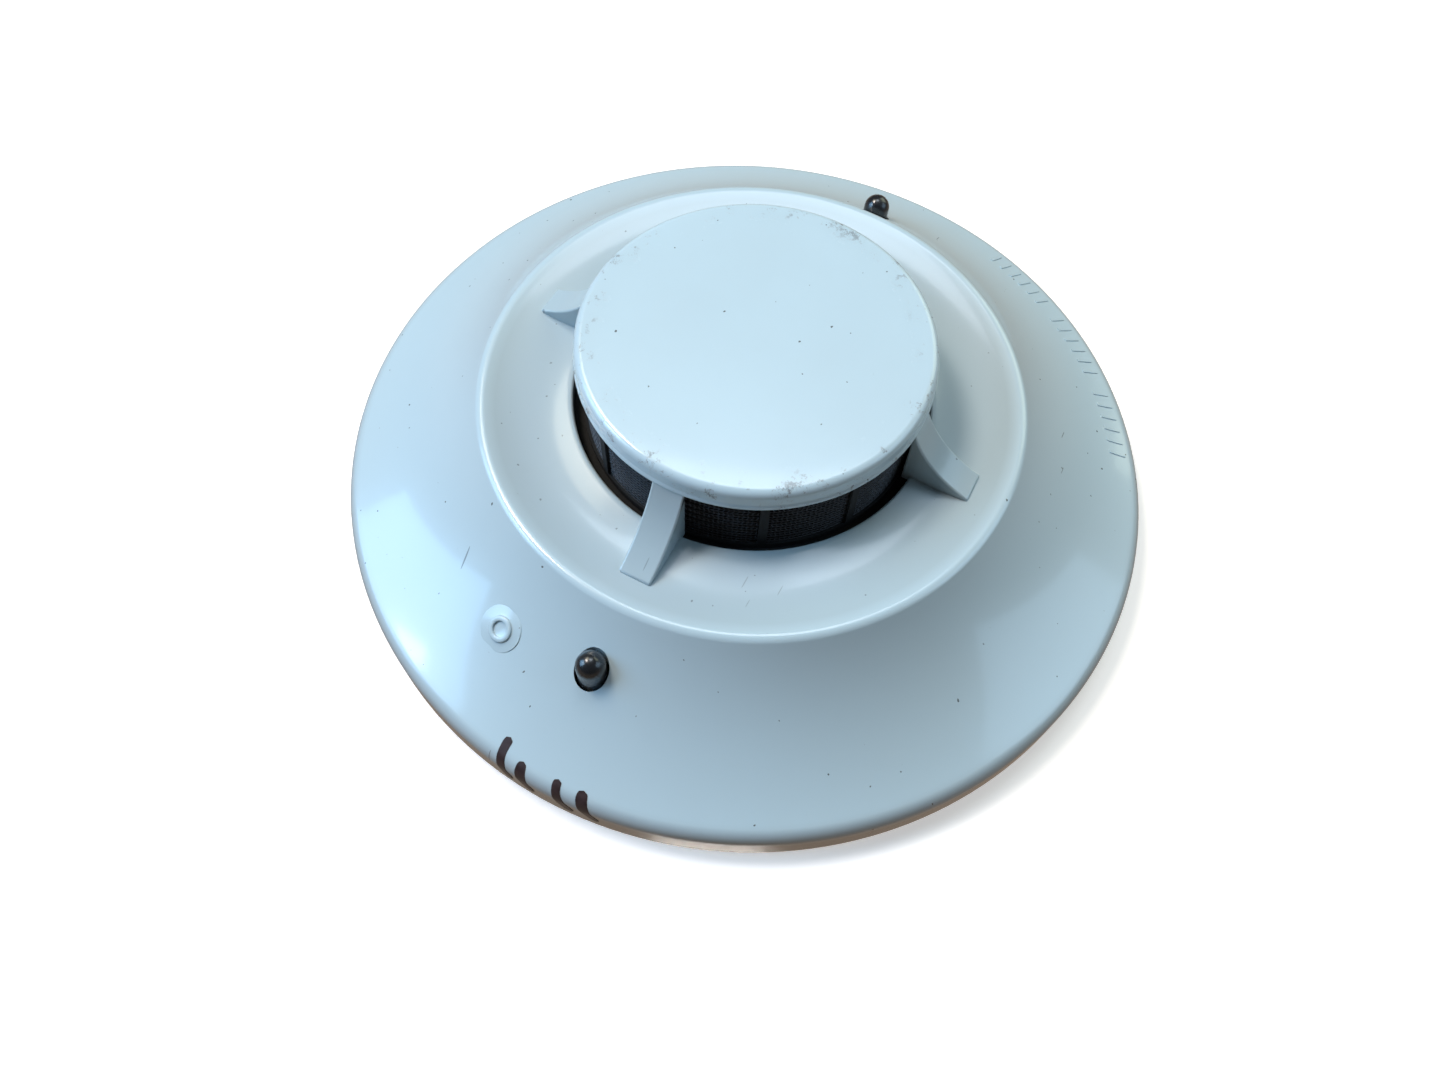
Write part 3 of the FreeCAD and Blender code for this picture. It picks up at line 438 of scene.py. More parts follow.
def gloss_white(name, colour, worn, roughness, rubbing, dish_shade):
    """Glossy white moulding: clouding, specks, scratches, a rubbed edge, painted shade in the dish and a
    painted brown reflection with shade at the wall's foot.
    """
    material = blank_material(name)
    nodes = material.node_tree.nodes
    links = material.node_tree.links
    place = nodes.new("ShaderNodeTexCoord")
    place.label = "Place on the moulding"

    clouding = nodes.new("NodeFrame")
    clouding.label = "Aged clouding"
    clouds = nodes.new("ShaderNodeTexNoise")
    clouds.label = "Slow clouds of ageing"
    cloud_mix = nodes.new("ShaderNodeMix")
    cloud_mix.label = "White to worn white"

    specks = nodes.new("NodeFrame")
    specks.label = "Dirt specks"
    ragged = nodes.new("ShaderNodeTexNoise")
    ragged.label = "Ragged edges"
    ragged_place = nodes.new("ShaderNodeVectorMath")
    ragged_place.label = "Push the place about"
    speck_cells = nodes.new("ShaderNodeTexVoronoi")
    speck_cells.label = "One speck in each cell"
    speck_lot = nodes.new("ShaderNodeSeparateColor")
    speck_lot.label = "Each cell's own number"
    speck_size = nodes.new("ShaderNodeMapRange")
    speck_size.label = "A few cells have a speck, each its own size"
    speck_mask = nodes.new("ShaderNodeMath")
    speck_mask.label = "Inside the speck"
    speck_mix = nodes.new("ShaderNodeMix")
    speck_mix.label = "Dirt over white"

    scratches = nodes.new("NodeFrame")
    scratches.label = "Hair scratches"
    hair_place = nodes.new("ShaderNodeMapping")
    hair_place.label = "Long thin cells at a slant"
    hair_cells = nodes.new("ShaderNodeTexVoronoi")
    hair_cells.label = "One scratch in each cell"
    hair_lot = nodes.new("ShaderNodeSeparateColor")
    hair_lot.label = "Each scratch's own number"
    hair_size = nodes.new("ShaderNodeMapRange")
    hair_size.label = "Only a few cells are scratched"
    hair_amount = nodes.new("ShaderNodeMath")
    hair_amount.label = "Inside the scratch"
    hair_mix = nodes.new("ShaderNodeMix")
    hair_mix.label = "Scratches over white"

    edge_rub = nodes.new("NodeFrame")
    edge_rub.label = "Rubbed edge"
    flat_place = nodes.new("ShaderNodeVectorMath")
    flat_place.label = "Place seen from above"
    radius = nodes.new("ShaderNodeVectorMath")
    radius.label = "Distance from the axis"
    edge_zone = nodes.new("ShaderNodeMapRange")
    edge_zone.label = "Near the edge"
    rub_grit = nodes.new("ShaderNodeTexNoise")
    rub_grit.label = "Gritty rubbing"
    rub_pick = nodes.new("ShaderNodeMapRange")
    rub_pick.label = "Only the roughest grit"
    rub_mask = nodes.new("ShaderNodeMath")
    rub_mask.label = "Rubbed patches at the edge"
    rub_mix = nodes.new("ShaderNodeMix")
    rub_mix.label = "Grey rubbing over white"
    # Painted shade: the dish inside the ridge is mixed towards a darker blue grey.
    dish_zone = nodes.new("ShaderNodeMapRange")
    dish_zone.label = "Inside the ridge"
    dish_shade_mix = nodes.new("ShaderNodeMix")
    dish_shade_mix.label = "Painted shade in the dish"
    gloss = nodes.new("ShaderNodeMapRange")
    gloss.label = "Rubbing dulls the gloss"

    # Painted reflection and shade: a brown tint darkens the wall's foot and fades upwards, standing in for a
    # brown table's reflection and shade.
    painted_foot_reflection_shade = nodes.new("NodeFrame")
    painted_foot_reflection_shade.label = "Painted reflection and shade at the wall's foot"
    heights = nodes.new("ShaderNodeSeparateXYZ")
    heights.label = "Height"
    foot_reflection_shade_zone = nodes.new("ShaderNodeMapRange")
    foot_reflection_shade_zone.label = "Painted brown reflection and shade fade upwards"
    foot_reflection_shade_mix = nodes.new("ShaderNodeMix")
    foot_reflection_shade_mix.label = "Painted shade over white"

    ripple = nodes.new("NodeFrame")
    ripple.label = "Moulded ripple"
    ripple_noise = nodes.new("ShaderNodeTexNoise")
    ripple_noise.label = "Orange peel"
    ripple_bump = nodes.new("ShaderNodeBump")
    ripple_bump.label = "Shallow ripple"
    scratch_bump = nodes.new("ShaderNodeBump")
    scratch_bump.label = "Scratches bite in"

    surface = nodes.new("ShaderNodeBsdfPrincipled")
    surface.label = "Gloss moulding"
    output = nodes.new("ShaderNodeOutputMaterial")
    output.label = "Surface"

    spots = (
        (place, -2000, 0), (clouds, -1500, 700), (cloud_mix, -1200, 700), (ragged, -1800, 400),
        (ragged_place, -1600, 400), (speck_cells, -1400, 400), (speck_lot, -1200, 450),
        (speck_size, -1000, 450), (speck_mask, -800, 400), (speck_mix, -600, 500),
        (hair_place, -1600, 100), (hair_cells, -1400, 100), (hair_lot, -1200, 150),
        (hair_size, -1000, 150), (hair_amount, -800, 100), (hair_mix, -400, 400),
        (flat_place, -1500, -450), (radius, -1300, -450), (edge_zone, -1100, -450),
        (rub_grit, -1300, -700), (rub_pick, -1100, -700), (rub_mask, -900, -550), (rub_mix, -200, 300),
        (dish_zone, -300, 700), (dish_shade_mix, -100, 600), (gloss, -200, -150), (heights, -1100, -1000),
        (foot_reflection_shade_zone, -900, -1000), (foot_reflection_shade_mix, 0, 200), (ripple_noise, -600, -600),
        (ripple_bump, -200, -450), (scratch_bump, 0, -450), (surface, 300, 0), (output, 600, 0))
    for node, x, y in spots:
        node.location = (x, y)
    # The dish nodes in this frame paint shade in the dish.
    for node in (clouds, cloud_mix, dish_zone, dish_shade_mix):
        node.parent = clouding
    for node in (ragged, ragged_place, speck_cells, speck_lot, speck_size, speck_mask, speck_mix):
        node.parent = specks
    for node in (hair_place, hair_cells, hair_lot, hair_size, hair_amount, hair_mix):
        node.parent = scratches
    for node in (flat_place, radius, edge_zone, rub_grit, rub_pick, rub_mask, rub_mix, gloss):
        node.parent = edge_rub
    for node in (heights, foot_reflection_shade_zone, foot_reflection_shade_mix):
        node.parent = painted_foot_reflection_shade
    for node in (ripple_noise, ripple_bump, scratch_bump):
        node.parent = ripple

    clouds.inputs["Scale"].default_value = 38
    clouds.inputs["Detail"].default_value = 4
    cloud_mix.data_type = "RGBA"
    cloud_mix.inputs["A"].default_value = (*colour, 1)
    cloud_mix.inputs["B"].default_value = (*worn, 1)
    ragged.inputs["Scale"].default_value = 1800
    ragged.inputs["Detail"].default_value = 2
    ragged_place.operation = "MULTIPLY_ADD"
    ragged_place.inputs[1].default_value = (0.0004, 0.0004, 0.0004)
    speck_cells.voronoi_dimensions = "2D"
    speck_cells.inputs["Scale"].default_value = 420
    speck_size.inputs["From Min"].default_value = 0.86
    speck_size.inputs["From Max"].default_value = 1
    speck_size.inputs["To Max"].default_value = 0.062
    speck_mask.operation = "LESS_THAN"
    speck_mix.data_type = "RGBA"
    speck_mix.inputs["B"].default_value = (0.15, 0.17, 0.18, 1)
    hair_place.inputs["Rotation"].default_value = (0, 0, math.radians(52))
    hair_place.inputs["Scale"].default_value = (1, 0.09, 1)
    hair_cells.voronoi_dimensions = "2D"
    hair_cells.inputs["Scale"].default_value = 950
    hair_amount.operation = "LESS_THAN"
    hair_size.inputs["From Min"].default_value = 0.984
    hair_size.inputs["From Max"].default_value = 1
    hair_size.inputs["To Max"].default_value = 0.11
    hair_mix.data_type = "RGBA"
    hair_mix.inputs["B"].default_value = (0.27, 0.32, 0.35, 1)
    flat_place.operation = "MULTIPLY"
    flat_place.inputs[1].default_value = (1, 1, 0)
    radius.operation = "LENGTH"
    edge_zone.inputs["From Min"].default_value = 0.0175
    edge_zone.inputs["From Max"].default_value = 0.0208
    edge_zone.inputs["To Max"].default_value = rubbing
    rub_grit.inputs["Scale"].default_value = 240
    rub_grit.inputs["Detail"].default_value = 9
    rub_grit.inputs["Roughness"].default_value = 0.84
    rub_pick.inputs["From Min"].default_value = 0.545
    rub_pick.inputs["From Max"].default_value = 0.60
    rub_mask.operation = "MULTIPLY"
    rub_mix.data_type = "RGBA"
    rub_mix.inputs["B"].default_value = (0.17, 0.18, 0.19, 1)
    # Painted shade in the dish: full inside the ridge, gone outside it.
    dish_zone.inputs["From Min"].default_value = 0.0312
    dish_zone.inputs["From Max"].default_value = 0.0328
    dish_zone.inputs["To Min"].default_value = dish_shade
    dish_zone.inputs["To Max"].default_value = 0
    dish_shade_mix.data_type = "RGBA"
    dish_shade_mix.inputs["B"].default_value = (0.36, 0.43, 0.455, 1)
    gloss.inputs["To Min"].default_value = roughness
    gloss.inputs["To Max"].default_value = roughness + 0.3
    # Painted brown reflection and shade, full at 3 mm height and gone by 6 mm.
    foot_reflection_shade_zone.inputs["From Min"].default_value = 0.0030
    foot_reflection_shade_zone.inputs["From Max"].default_value = 0.0060
    foot_reflection_shade_zone.inputs["To Min"].default_value = 0.9
    foot_reflection_shade_zone.inputs["To Max"].default_value = 0
    foot_reflection_shade_mix.data_type = "RGBA"
    foot_reflection_shade_mix.inputs["B"].default_value = (0.27, 0.20, 0.15, 1)
    ripple_noise.inputs["Scale"].default_value = 700
    ripple_noise.inputs["Detail"].default_value = 2
    ripple_bump.inputs["Strength"].default_value = 0.06
    ripple_bump.inputs["Distance"].default_value = 0.0001
    scratch_bump.inputs["Strength"].default_value = 0.1
    scratch_bump.inputs["Distance"].default_value = 0.00003
    scratch_bump.invert = True
    surface.inputs["Coat Weight"].default_value = 0.5
    surface.inputs["Coat Roughness"].default_value = 0.09
    surface.inputs["Subsurface Weight"].default_value = 0.05
    surface.inputs["Subsurface Radius"].default_value = (1, 1, 1)
    surface.inputs["Subsurface Scale"].default_value = 0.0008

    links.new(place.outputs["Object"], clouds.inputs["Vector"])
    links.new(clouds.outputs["Fac"], cloud_mix.inputs["Factor"])
    links.new(place.outputs["Object"], ragged.inputs["Vector"])
    links.new(ragged.outputs["Color"], ragged_place.inputs[0])
    links.new(place.outputs["Object"], ragged_place.inputs[2])
    links.new(ragged_place.outputs["Vector"], speck_cells.inputs["Vector"])
    links.new(speck_cells.outputs["Color"], speck_lot.inputs["Color"])
    links.new(speck_lot.outputs["Red"], speck_size.inputs["Value"])
    links.new(speck_cells.outputs["Distance"], speck_mask.inputs[0])
    links.new(speck_size.outputs["Result"], speck_mask.inputs[1])
    links.new(speck_mask.outputs["Value"], speck_mix.inputs["Factor"])
    links.new(cloud_mix.outputs["Result"], speck_mix.inputs["A"])
    links.new(place.outputs["Object"], hair_place.inputs["Vector"])
    links.new(hair_place.outputs["Vector"], hair_cells.inputs["Vector"])
    links.new(hair_cells.outputs["Color"], hair_lot.inputs["Color"])
    links.new(hair_lot.outputs["Green"], hair_size.inputs["Value"])
    links.new(hair_cells.outputs["Distance"], hair_amount.inputs[0])
    links.new(hair_size.outputs["Result"], hair_amount.inputs[1])
    links.new(hair_amount.outputs["Value"], hair_mix.inputs["Factor"])
    links.new(speck_mix.outputs["Result"], hair_mix.inputs["A"])
    links.new(place.outputs["Object"], flat_place.inputs[0])
    links.new(flat_place.outputs["Vector"], radius.inputs[0])
    links.new(radius.outputs["Value"], edge_zone.inputs["Value"])
    links.new(place.outputs["Object"], rub_grit.inputs["Vector"])
    links.new(rub_grit.outputs["Fac"], rub_pick.inputs["Value"])
    links.new(edge_zone.outputs["Result"], rub_mask.inputs[0])
    links.new(rub_pick.outputs["Result"], rub_mask.inputs[1])
    links.new(rub_mask.outputs["Value"], rub_mix.inputs["Factor"])
    links.new(hair_mix.outputs["Result"], rub_mix.inputs["A"])
    links.new(rub_mask.outputs["Value"], gloss.inputs["Value"])
    links.new(place.outputs["Object"], heights.inputs["Vector"])
    links.new(heights.outputs["Z"], foot_reflection_shade_zone.inputs["Value"])
    links.new(foot_reflection_shade_zone.outputs["Result"], foot_reflection_shade_mix.inputs["Factor"])
    links.new(radius.outputs["Value"], dish_zone.inputs["Value"])
    links.new(dish_zone.outputs["Result"], dish_shade_mix.inputs["Factor"])
    links.new(rub_mix.outputs["Result"], dish_shade_mix.inputs["A"])
    links.new(dish_shade_mix.outputs["Result"], foot_reflection_shade_mix.inputs["A"])
    links.new(place.outputs["Object"], ripple_noise.inputs["Vector"])
    links.new(ripple_noise.outputs["Fac"], ripple_bump.inputs["Height"])
    links.new(hair_amount.outputs["Value"], scratch_bump.inputs["Height"])
    links.new(ripple_bump.outputs["Normal"], scratch_bump.inputs["Normal"])
    links.new(foot_reflection_shade_mix.outputs["Result"], surface.inputs["Base Color"])
    links.new(gloss.outputs["Result"], surface.inputs["Roughness"])
    links.new(scratch_bump.outputs["Normal"], surface.inputs["Normal"])
    links.new(surface.outputs["BSDF"], output.inputs["Surface"])
    return material


def moulded(name, colour, roughness, grain, dust):
    """Satin or matt moulding: a fine spark-eroded grain with a little pale dust on it."""
    material = blank_material(name)
    nodes = material.node_tree.nodes
    links = material.node_tree.links

    dusting = nodes.new("NodeFrame")
    dusting.label = "Dust"
    place = nodes.new("ShaderNodeTexCoord")
    place.label = "Place on the moulding"
    dust_noise = nodes.new("ShaderNodeTexNoise")
    dust_noise.label = "Dust patches"
    dust_amount = nodes.new("ShaderNodeMapRange")
    dust_amount.label = "How much dust"
    dust_mix = nodes.new("ShaderNodeMix")
    dust_mix.label = "Dust over the colour"

    texture = nodes.new("NodeFrame")
    texture.label = "Spark-eroded grain"
    grain_noise = nodes.new("ShaderNodeTexNoise")
    grain_noise.label = "Fine grain"
    sheen_range = nodes.new("ShaderNodeMapRange")
    sheen_range.label = "Grain varies the gloss"
    grain_bump = nodes.new("ShaderNodeBump")
    grain_bump.label = "Grain height"

    surface = nodes.new("ShaderNodeBsdfPrincipled")
    surface.label = "Moulding"
    output = nodes.new("ShaderNodeOutputMaterial")
    output.label = "Surface"

    spots = (
        (place, -1100, 0), (dust_noise, -850, 200), (dust_amount, -600, 200), (dust_mix, -350, 200),
        (grain_noise, -850, -250), (sheen_range, -600, -150), (grain_bump, -350, -300),
        (surface, -50, 0), (output, 250, 0))
    for node, x, y in spots:
        node.location = (x, y)
    for node in (dust_noise, dust_amount, dust_mix):
        node.parent = dusting
    for node in (grain_noise, sheen_range, grain_bump):
        node.parent = texture

    dust_noise.inputs["Scale"].default_value = 180
    dust_noise.inputs["Detail"].default_value = 5
    dust_amount.inputs["From Min"].default_value = 0.45
    dust_amount.inputs["From Max"].default_value = 0.75
    dust_amount.inputs["To Max"].default_value = dust
    dust_mix.data_type = "RGBA"
    dust_mix.inputs["A"].default_value = (*colour, 1)
    dust_mix.inputs["B"].default_value = (0.42, 0.43, 0.42, 1)
    grain_noise.inputs["Scale"].default_value = 2600
    grain_noise.inputs["Detail"].default_value = 2
    sheen_range.inputs["To Min"].default_value = roughness - 0.06
    sheen_range.inputs["To Max"].default_value = roughness + 0.08
    grain_bump.inputs["Strength"].default_value = grain
    grain_bump.inputs["Distance"].default_value = 0.00004

    links.new(place.outputs["Object"], dust_noise.inputs["Vector"])
    links.new(dust_noise.outputs["Fac"], dust_amount.inputs["Value"])
    links.new(dust_amount.outputs["Result"], dust_mix.inputs["Factor"])
    links.new(place.outputs["Object"], grain_noise.inputs["Vector"])
    links.new(grain_noise.outputs["Fac"], sheen_range.inputs["Value"])
    links.new(grain_noise.outputs["Fac"], grain_bump.inputs["Height"])
    links.new(dust_mix.outputs["Result"], surface.inputs["Base Color"])
    links.new(sheen_range.outputs["Result"], surface.inputs["Roughness"])
    links.new(grain_bump.outputs["Normal"], surface.inputs["Normal"])
    links.new(surface.outputs["BSDF"], output.inputs["Surface"])
    return material


def plated(name, colour, tarnish, roughness, streak):
    """Bare or plated metal: fine drawn streaks and patches of tarnish."""
    material = blank_material(name)
    nodes = material.node_tree.nodes
    links = material.node_tree.links

    drawing = nodes.new("NodeFrame")
    drawing.label = "Drawn streaks"
    place = nodes.new("ShaderNodeTexCoord")
    place.label = "Place on the metal"
    stretch = nodes.new("ShaderNodeMapping")
    stretch.label = "Streaks run upright"
    streaks = nodes.new("ShaderNodeTexNoise")
    streaks.label = "Streaks"
    streak_gloss = nodes.new("ShaderNodeMapRange")
    streak_gloss.label = "Streaks vary the gloss"
    streak_bump = nodes.new("ShaderNodeBump")
    streak_bump.label = "Streak depth"

    ageing = nodes.new("NodeFrame")
    ageing.label = "Tarnish"
    patches = nodes.new("ShaderNodeTexNoise")
    patches.label = "Tarnish patches"
    tarnish_mix = nodes.new("ShaderNodeMix")
    tarnish_mix.label = "Metal to tarnish"

    surface = nodes.new("ShaderNodeBsdfPrincipled")
    surface.label = "Metal"
    output = nodes.new("ShaderNodeOutputMaterial")
    output.label = "Surface"

    spots = (
        (place, -1100, 0), (stretch, -900, -200), (streaks, -700, -200), (streak_gloss, -450, -150),
        (streak_bump, -450, -400), (patches, -700, 200), (tarnish_mix, -450, 200), (surface, -100, 0),
        (output, 200, 0))
    for node, x, y in spots:
        node.location = (x, y)
    for node in (stretch, streaks, streak_gloss, streak_bump):
        node.parent = drawing
    for node in (patches, tarnish_mix):
        node.parent = ageing

    stretch.inputs["Scale"].default_value = (1, 1, streak)
    streaks.inputs["Scale"].default_value = 900
    streaks.inputs["Detail"].default_value = 3
    streak_gloss.inputs["To Min"].default_value = roughness
    streak_gloss.inputs["To Max"].default_value = roughness + 0.18
    streak_bump.inputs["Strength"].default_value = 0.12
    streak_bump.inputs["Distance"].default_value = 0.00003
    patches.inputs["Scale"].default_value = 220
    patches.inputs["Detail"].default_value = 4
    tarnish_mix.data_type = "RGBA"
    tarnish_mix.inputs["A"].default_value = (*colour, 1)
    tarnish_mix.inputs["B"].default_value = (*tarnish, 1)
    surface.inputs["Metallic"].default_value = 1

    links.new(place.outputs["Object"], stretch.inputs["Vector"])
    links.new(stretch.outputs["Vector"], streaks.inputs["Vector"])
    links.new(streaks.outputs["Fac"], streak_gloss.inputs["Value"])
    links.new(streaks.outputs["Fac"], streak_bump.inputs["Height"])
    links.new(place.outputs["Object"], patches.inputs["Vector"])
    links.new(patches.outputs["Fac"], tarnish_mix.inputs["Factor"])
    links.new(tarnish_mix.outputs["Result"], surface.inputs["Base Color"])
    links.new(streak_gloss.outputs["Result"], surface.inputs["Roughness"])
    links.new(streak_bump.outputs["Normal"], surface.inputs["Normal"])
    links.new(surface.outputs["BSDF"], output.inputs["Surface"])
    return material


def clear_resin(name, colour, roughness, clearness):
    """Polished clear or smoked resin with a faint haze and handling marks."""
    material = blank_material(name)
    nodes = material.node_tree.nodes
    links = material.node_tree.links

    handling = nodes.new("NodeFrame")
    handling.label = "Handling marks"
    place = nodes.new("ShaderNodeTexCoord")
    place.label = "Place on the lens"
    marks = nodes.new("ShaderNodeTexNoise")
    marks.label = "Faint smears"
    haze = nodes.new("ShaderNodeMapRange")
    haze.label = "Smears dull the polish"
    depth = nodes.new("ShaderNodeMix")
    depth.label = "Resin clouding"

    surface = nodes.new("ShaderNodeBsdfPrincipled")
    surface.label = "Resin"
    output = nodes.new("ShaderNodeOutputMaterial")
    output.label = "Surface"

    spots = (
        (place, -900, 0), (marks, -650, 0), (haze, -400, 0), (depth, -400, 250), (surface, -100, 0),
        (output, 200, 0))
    for node, x, y in spots:
        node.location = (x, y)
    for node in (marks, haze, depth):
        node.parent = handling

    marks.inputs["Scale"].default_value = 700
    marks.inputs["Detail"].default_value = 4
    haze.inputs["From Min"].default_value = 0.4
    haze.inputs["From Max"].default_value = 0.7
    haze.inputs["To Min"].default_value = roughness
    haze.inputs["To Max"].default_value = roughness + 0.14
    depth.data_type = "RGBA"
    depth.inputs["A"].default_value = (*colour, 1)
    depth.inputs["B"].default_value = (*[0.8 * c for c in colour], 1)
    surface.inputs["Transmission Weight"].default_value = clearness
    surface.inputs["IOR"].default_value = 1.52
    surface.inputs["Coat Weight"].default_value = 0.4
    surface.inputs["Coat Roughness"].default_value = 0.06

    links.new(place.outputs["Object"], marks.inputs["Vector"])
    links.new(marks.outputs["Fac"], haze.inputs["Value"])
    links.new(marks.outputs["Fac"], depth.inputs["Factor"])
    links.new(depth.outputs["Result"], surface.inputs["Base Color"])
    links.new(haze.outputs["Result"], surface.inputs["Roughness"])
    links.new(surface.outputs["BSDF"], output.inputs["Surface"])
    return material


def solder_resist(name, colour):
    """Green resist over square copper tracks, running along and across in some regions and slanted in others.
    """
    material = blank_material(name)
    nodes = material.node_tree.nodes
    links = material.node_tree.links

    tracks = nodes.new("NodeFrame")
    tracks.label = "Copper tracks under the resist"
    place = nodes.new("ShaderNodeTexCoord")
    place.label = "Place on the board"
    long_tracks = nodes.new("ShaderNodeTexBrick")
    long_tracks.label = "Tracks along and across"
    slant = nodes.new("ShaderNodeMapping")
    slant.label = "Slanted track runs"
    slant_tracks = nodes.new("ShaderNodeTexBrick")
    slant_tracks.label = "Slanted tracks"
    regions = nodes.new("ShaderNodeTexNoise")
    regions.label = "Where the slanted tracks run"
    region_edge = nodes.new("ShaderNodeMapRange")
    region_edge.label = "Plain edge between regions"
    layout = nodes.new("ShaderNodeMix")
    layout.label = "Track layout"
    colours = nodes.new("ShaderNodeMix")
    colours.label = "Resist over laminate or copper"
    track_bump = nodes.new("ShaderNodeBump")
    track_bump.label = "Tracks stand proud"

    surface = nodes.new("ShaderNodeBsdfPrincipled")
    surface.label = "Solder resist"
    output = nodes.new("ShaderNodeOutputMaterial")
    output.label = "Surface"

    spots = (
        (place, -1500, 0), (long_tracks, -1200, 300), (slant, -1350, -100),
        (slant_tracks, -1150, -100), (regions, -1150, -450), (region_edge, -900, -450),
        (layout, -700, 50), (colours, -450, 150), (track_bump, -450, -150), (surface, -200, 0),
        (output, 100, 0))
    for node, x, y in spots:
        node.location = (x, y)
    for node in (long_tracks, slant, slant_tracks, regions, region_edge, layout, colours, track_bump):
        node.parent = tracks

    for bricks in (long_tracks, slant_tracks):
        bricks.inputs["Scale"].default_value = 1
        bricks.inputs["Brick Width"].default_value = 0.0085
        bricks.inputs["Row Height"].default_value = 0.0013
        bricks.inputs["Mortar Size"].default_value = 0.00016
        bricks.inputs["Mortar Smooth"].default_value = 0.1
    slant.inputs["Rotation"].default_value = (0, 0, math.radians(45))
    regions.inputs["Scale"].default_value = 55
    regions.inputs["Detail"].default_value = 0
    region_edge.inputs["From Min"].default_value = 0.5
    region_edge.inputs["From Max"].default_value = 0.505
    layout.data_type = "FLOAT"
    colours.data_type = "RGBA"
    colours.inputs["A"].default_value = (*colour, 1)
    colours.inputs["B"].default_value = (*[1.5 * c for c in colour], 1)
    track_bump.inputs["Strength"].default_value = 0.3
    track_bump.inputs["Distance"].default_value = 0.00005
    surface.inputs["Roughness"].default_value = 0.32
    surface.inputs["Coat Weight"].default_value = 0.5
    surface.inputs["Coat Roughness"].default_value = 0.15

    links.new(place.outputs["Object"], long_tracks.inputs["Vector"])
    links.new(place.outputs["Object"], slant.inputs["Vector"])
    links.new(slant.outputs["Vector"], slant_tracks.inputs["Vector"])
    links.new(place.outputs["Object"], regions.inputs["Vector"])
    links.new(regions.outputs["Fac"], region_edge.inputs["Value"])
    links.new(region_edge.outputs["Result"], layout.inputs["Factor"])
    links.new(long_tracks.outputs["Fac"], layout.inputs["A"])
    links.new(slant_tracks.outputs["Fac"], layout.inputs["B"])
    links.new(layout.outputs["Result"], colours.inputs["Factor"])
    links.new(layout.outputs["Result"], track_bump.inputs["Height"])
    links.new(colours.outputs["Result"], surface.inputs["Base Color"])
    links.new(track_bump.outputs["Normal"], surface.inputs["Normal"])
    links.new(surface.outputs["BSDF"], output.inputs["Surface"])
    return material


def marker_ink(name, colour):
    """Marker ink on plastic: thick and thin in patches, a little glossy where it pooled."""
    material = blank_material(name)
    nodes = material.node_tree.nodes
    links = material.node_tree.links

    pooling = nodes.new("NodeFrame")
    pooling.label = "Pooled ink"
    place = nodes.new("ShaderNodeTexCoord")
    place.label = "Place on the stroke"
    pools = nodes.new("ShaderNodeTexNoise")
    pools.label = "Pools of ink"
    thickness = nodes.new("ShaderNodeMix")
    thickness.label = "Thick to thin ink"
    shine = nodes.new("ShaderNodeMapRange")
    shine.label = "Pools shine"

    surface = nodes.new("ShaderNodeBsdfPrincipled")
    surface.label = "Ink"
    output = nodes.new("ShaderNodeOutputMaterial")
    output.label = "Surface"

    spots = (
        (place, -900, 0), (pools, -650, 0), (thickness, -400, 150), (shine, -400, -150),
        (surface, -100, 0), (output, 200, 0))
    for node, x, y in spots:
        node.location = (x, y)
    for node in (pools, thickness, shine):
        node.parent = pooling

    pools.inputs["Scale"].default_value = 1100
    pools.inputs["Detail"].default_value = 3
    thickness.data_type = "RGBA"
    thickness.inputs["A"].default_value = (*colour, 1)
    thickness.inputs["B"].default_value = (*[2.6 * c for c in colour], 1)
    shine.inputs["To Min"].default_value = 0.25
    shine.inputs["To Max"].default_value = 0.5

    links.new(place.outputs["Object"], pools.inputs["Vector"])
    links.new(pools.outputs["Fac"], thickness.inputs["Factor"])
    links.new(pools.outputs["Fac"], shine.inputs["Value"])
    links.new(thickness.outputs["Result"], surface.inputs["Base Color"])
    links.new(shine.outputs["Result"], surface.inputs["Roughness"])
    links.new(surface.outputs["BSDF"], output.inputs["Surface"])
    return material


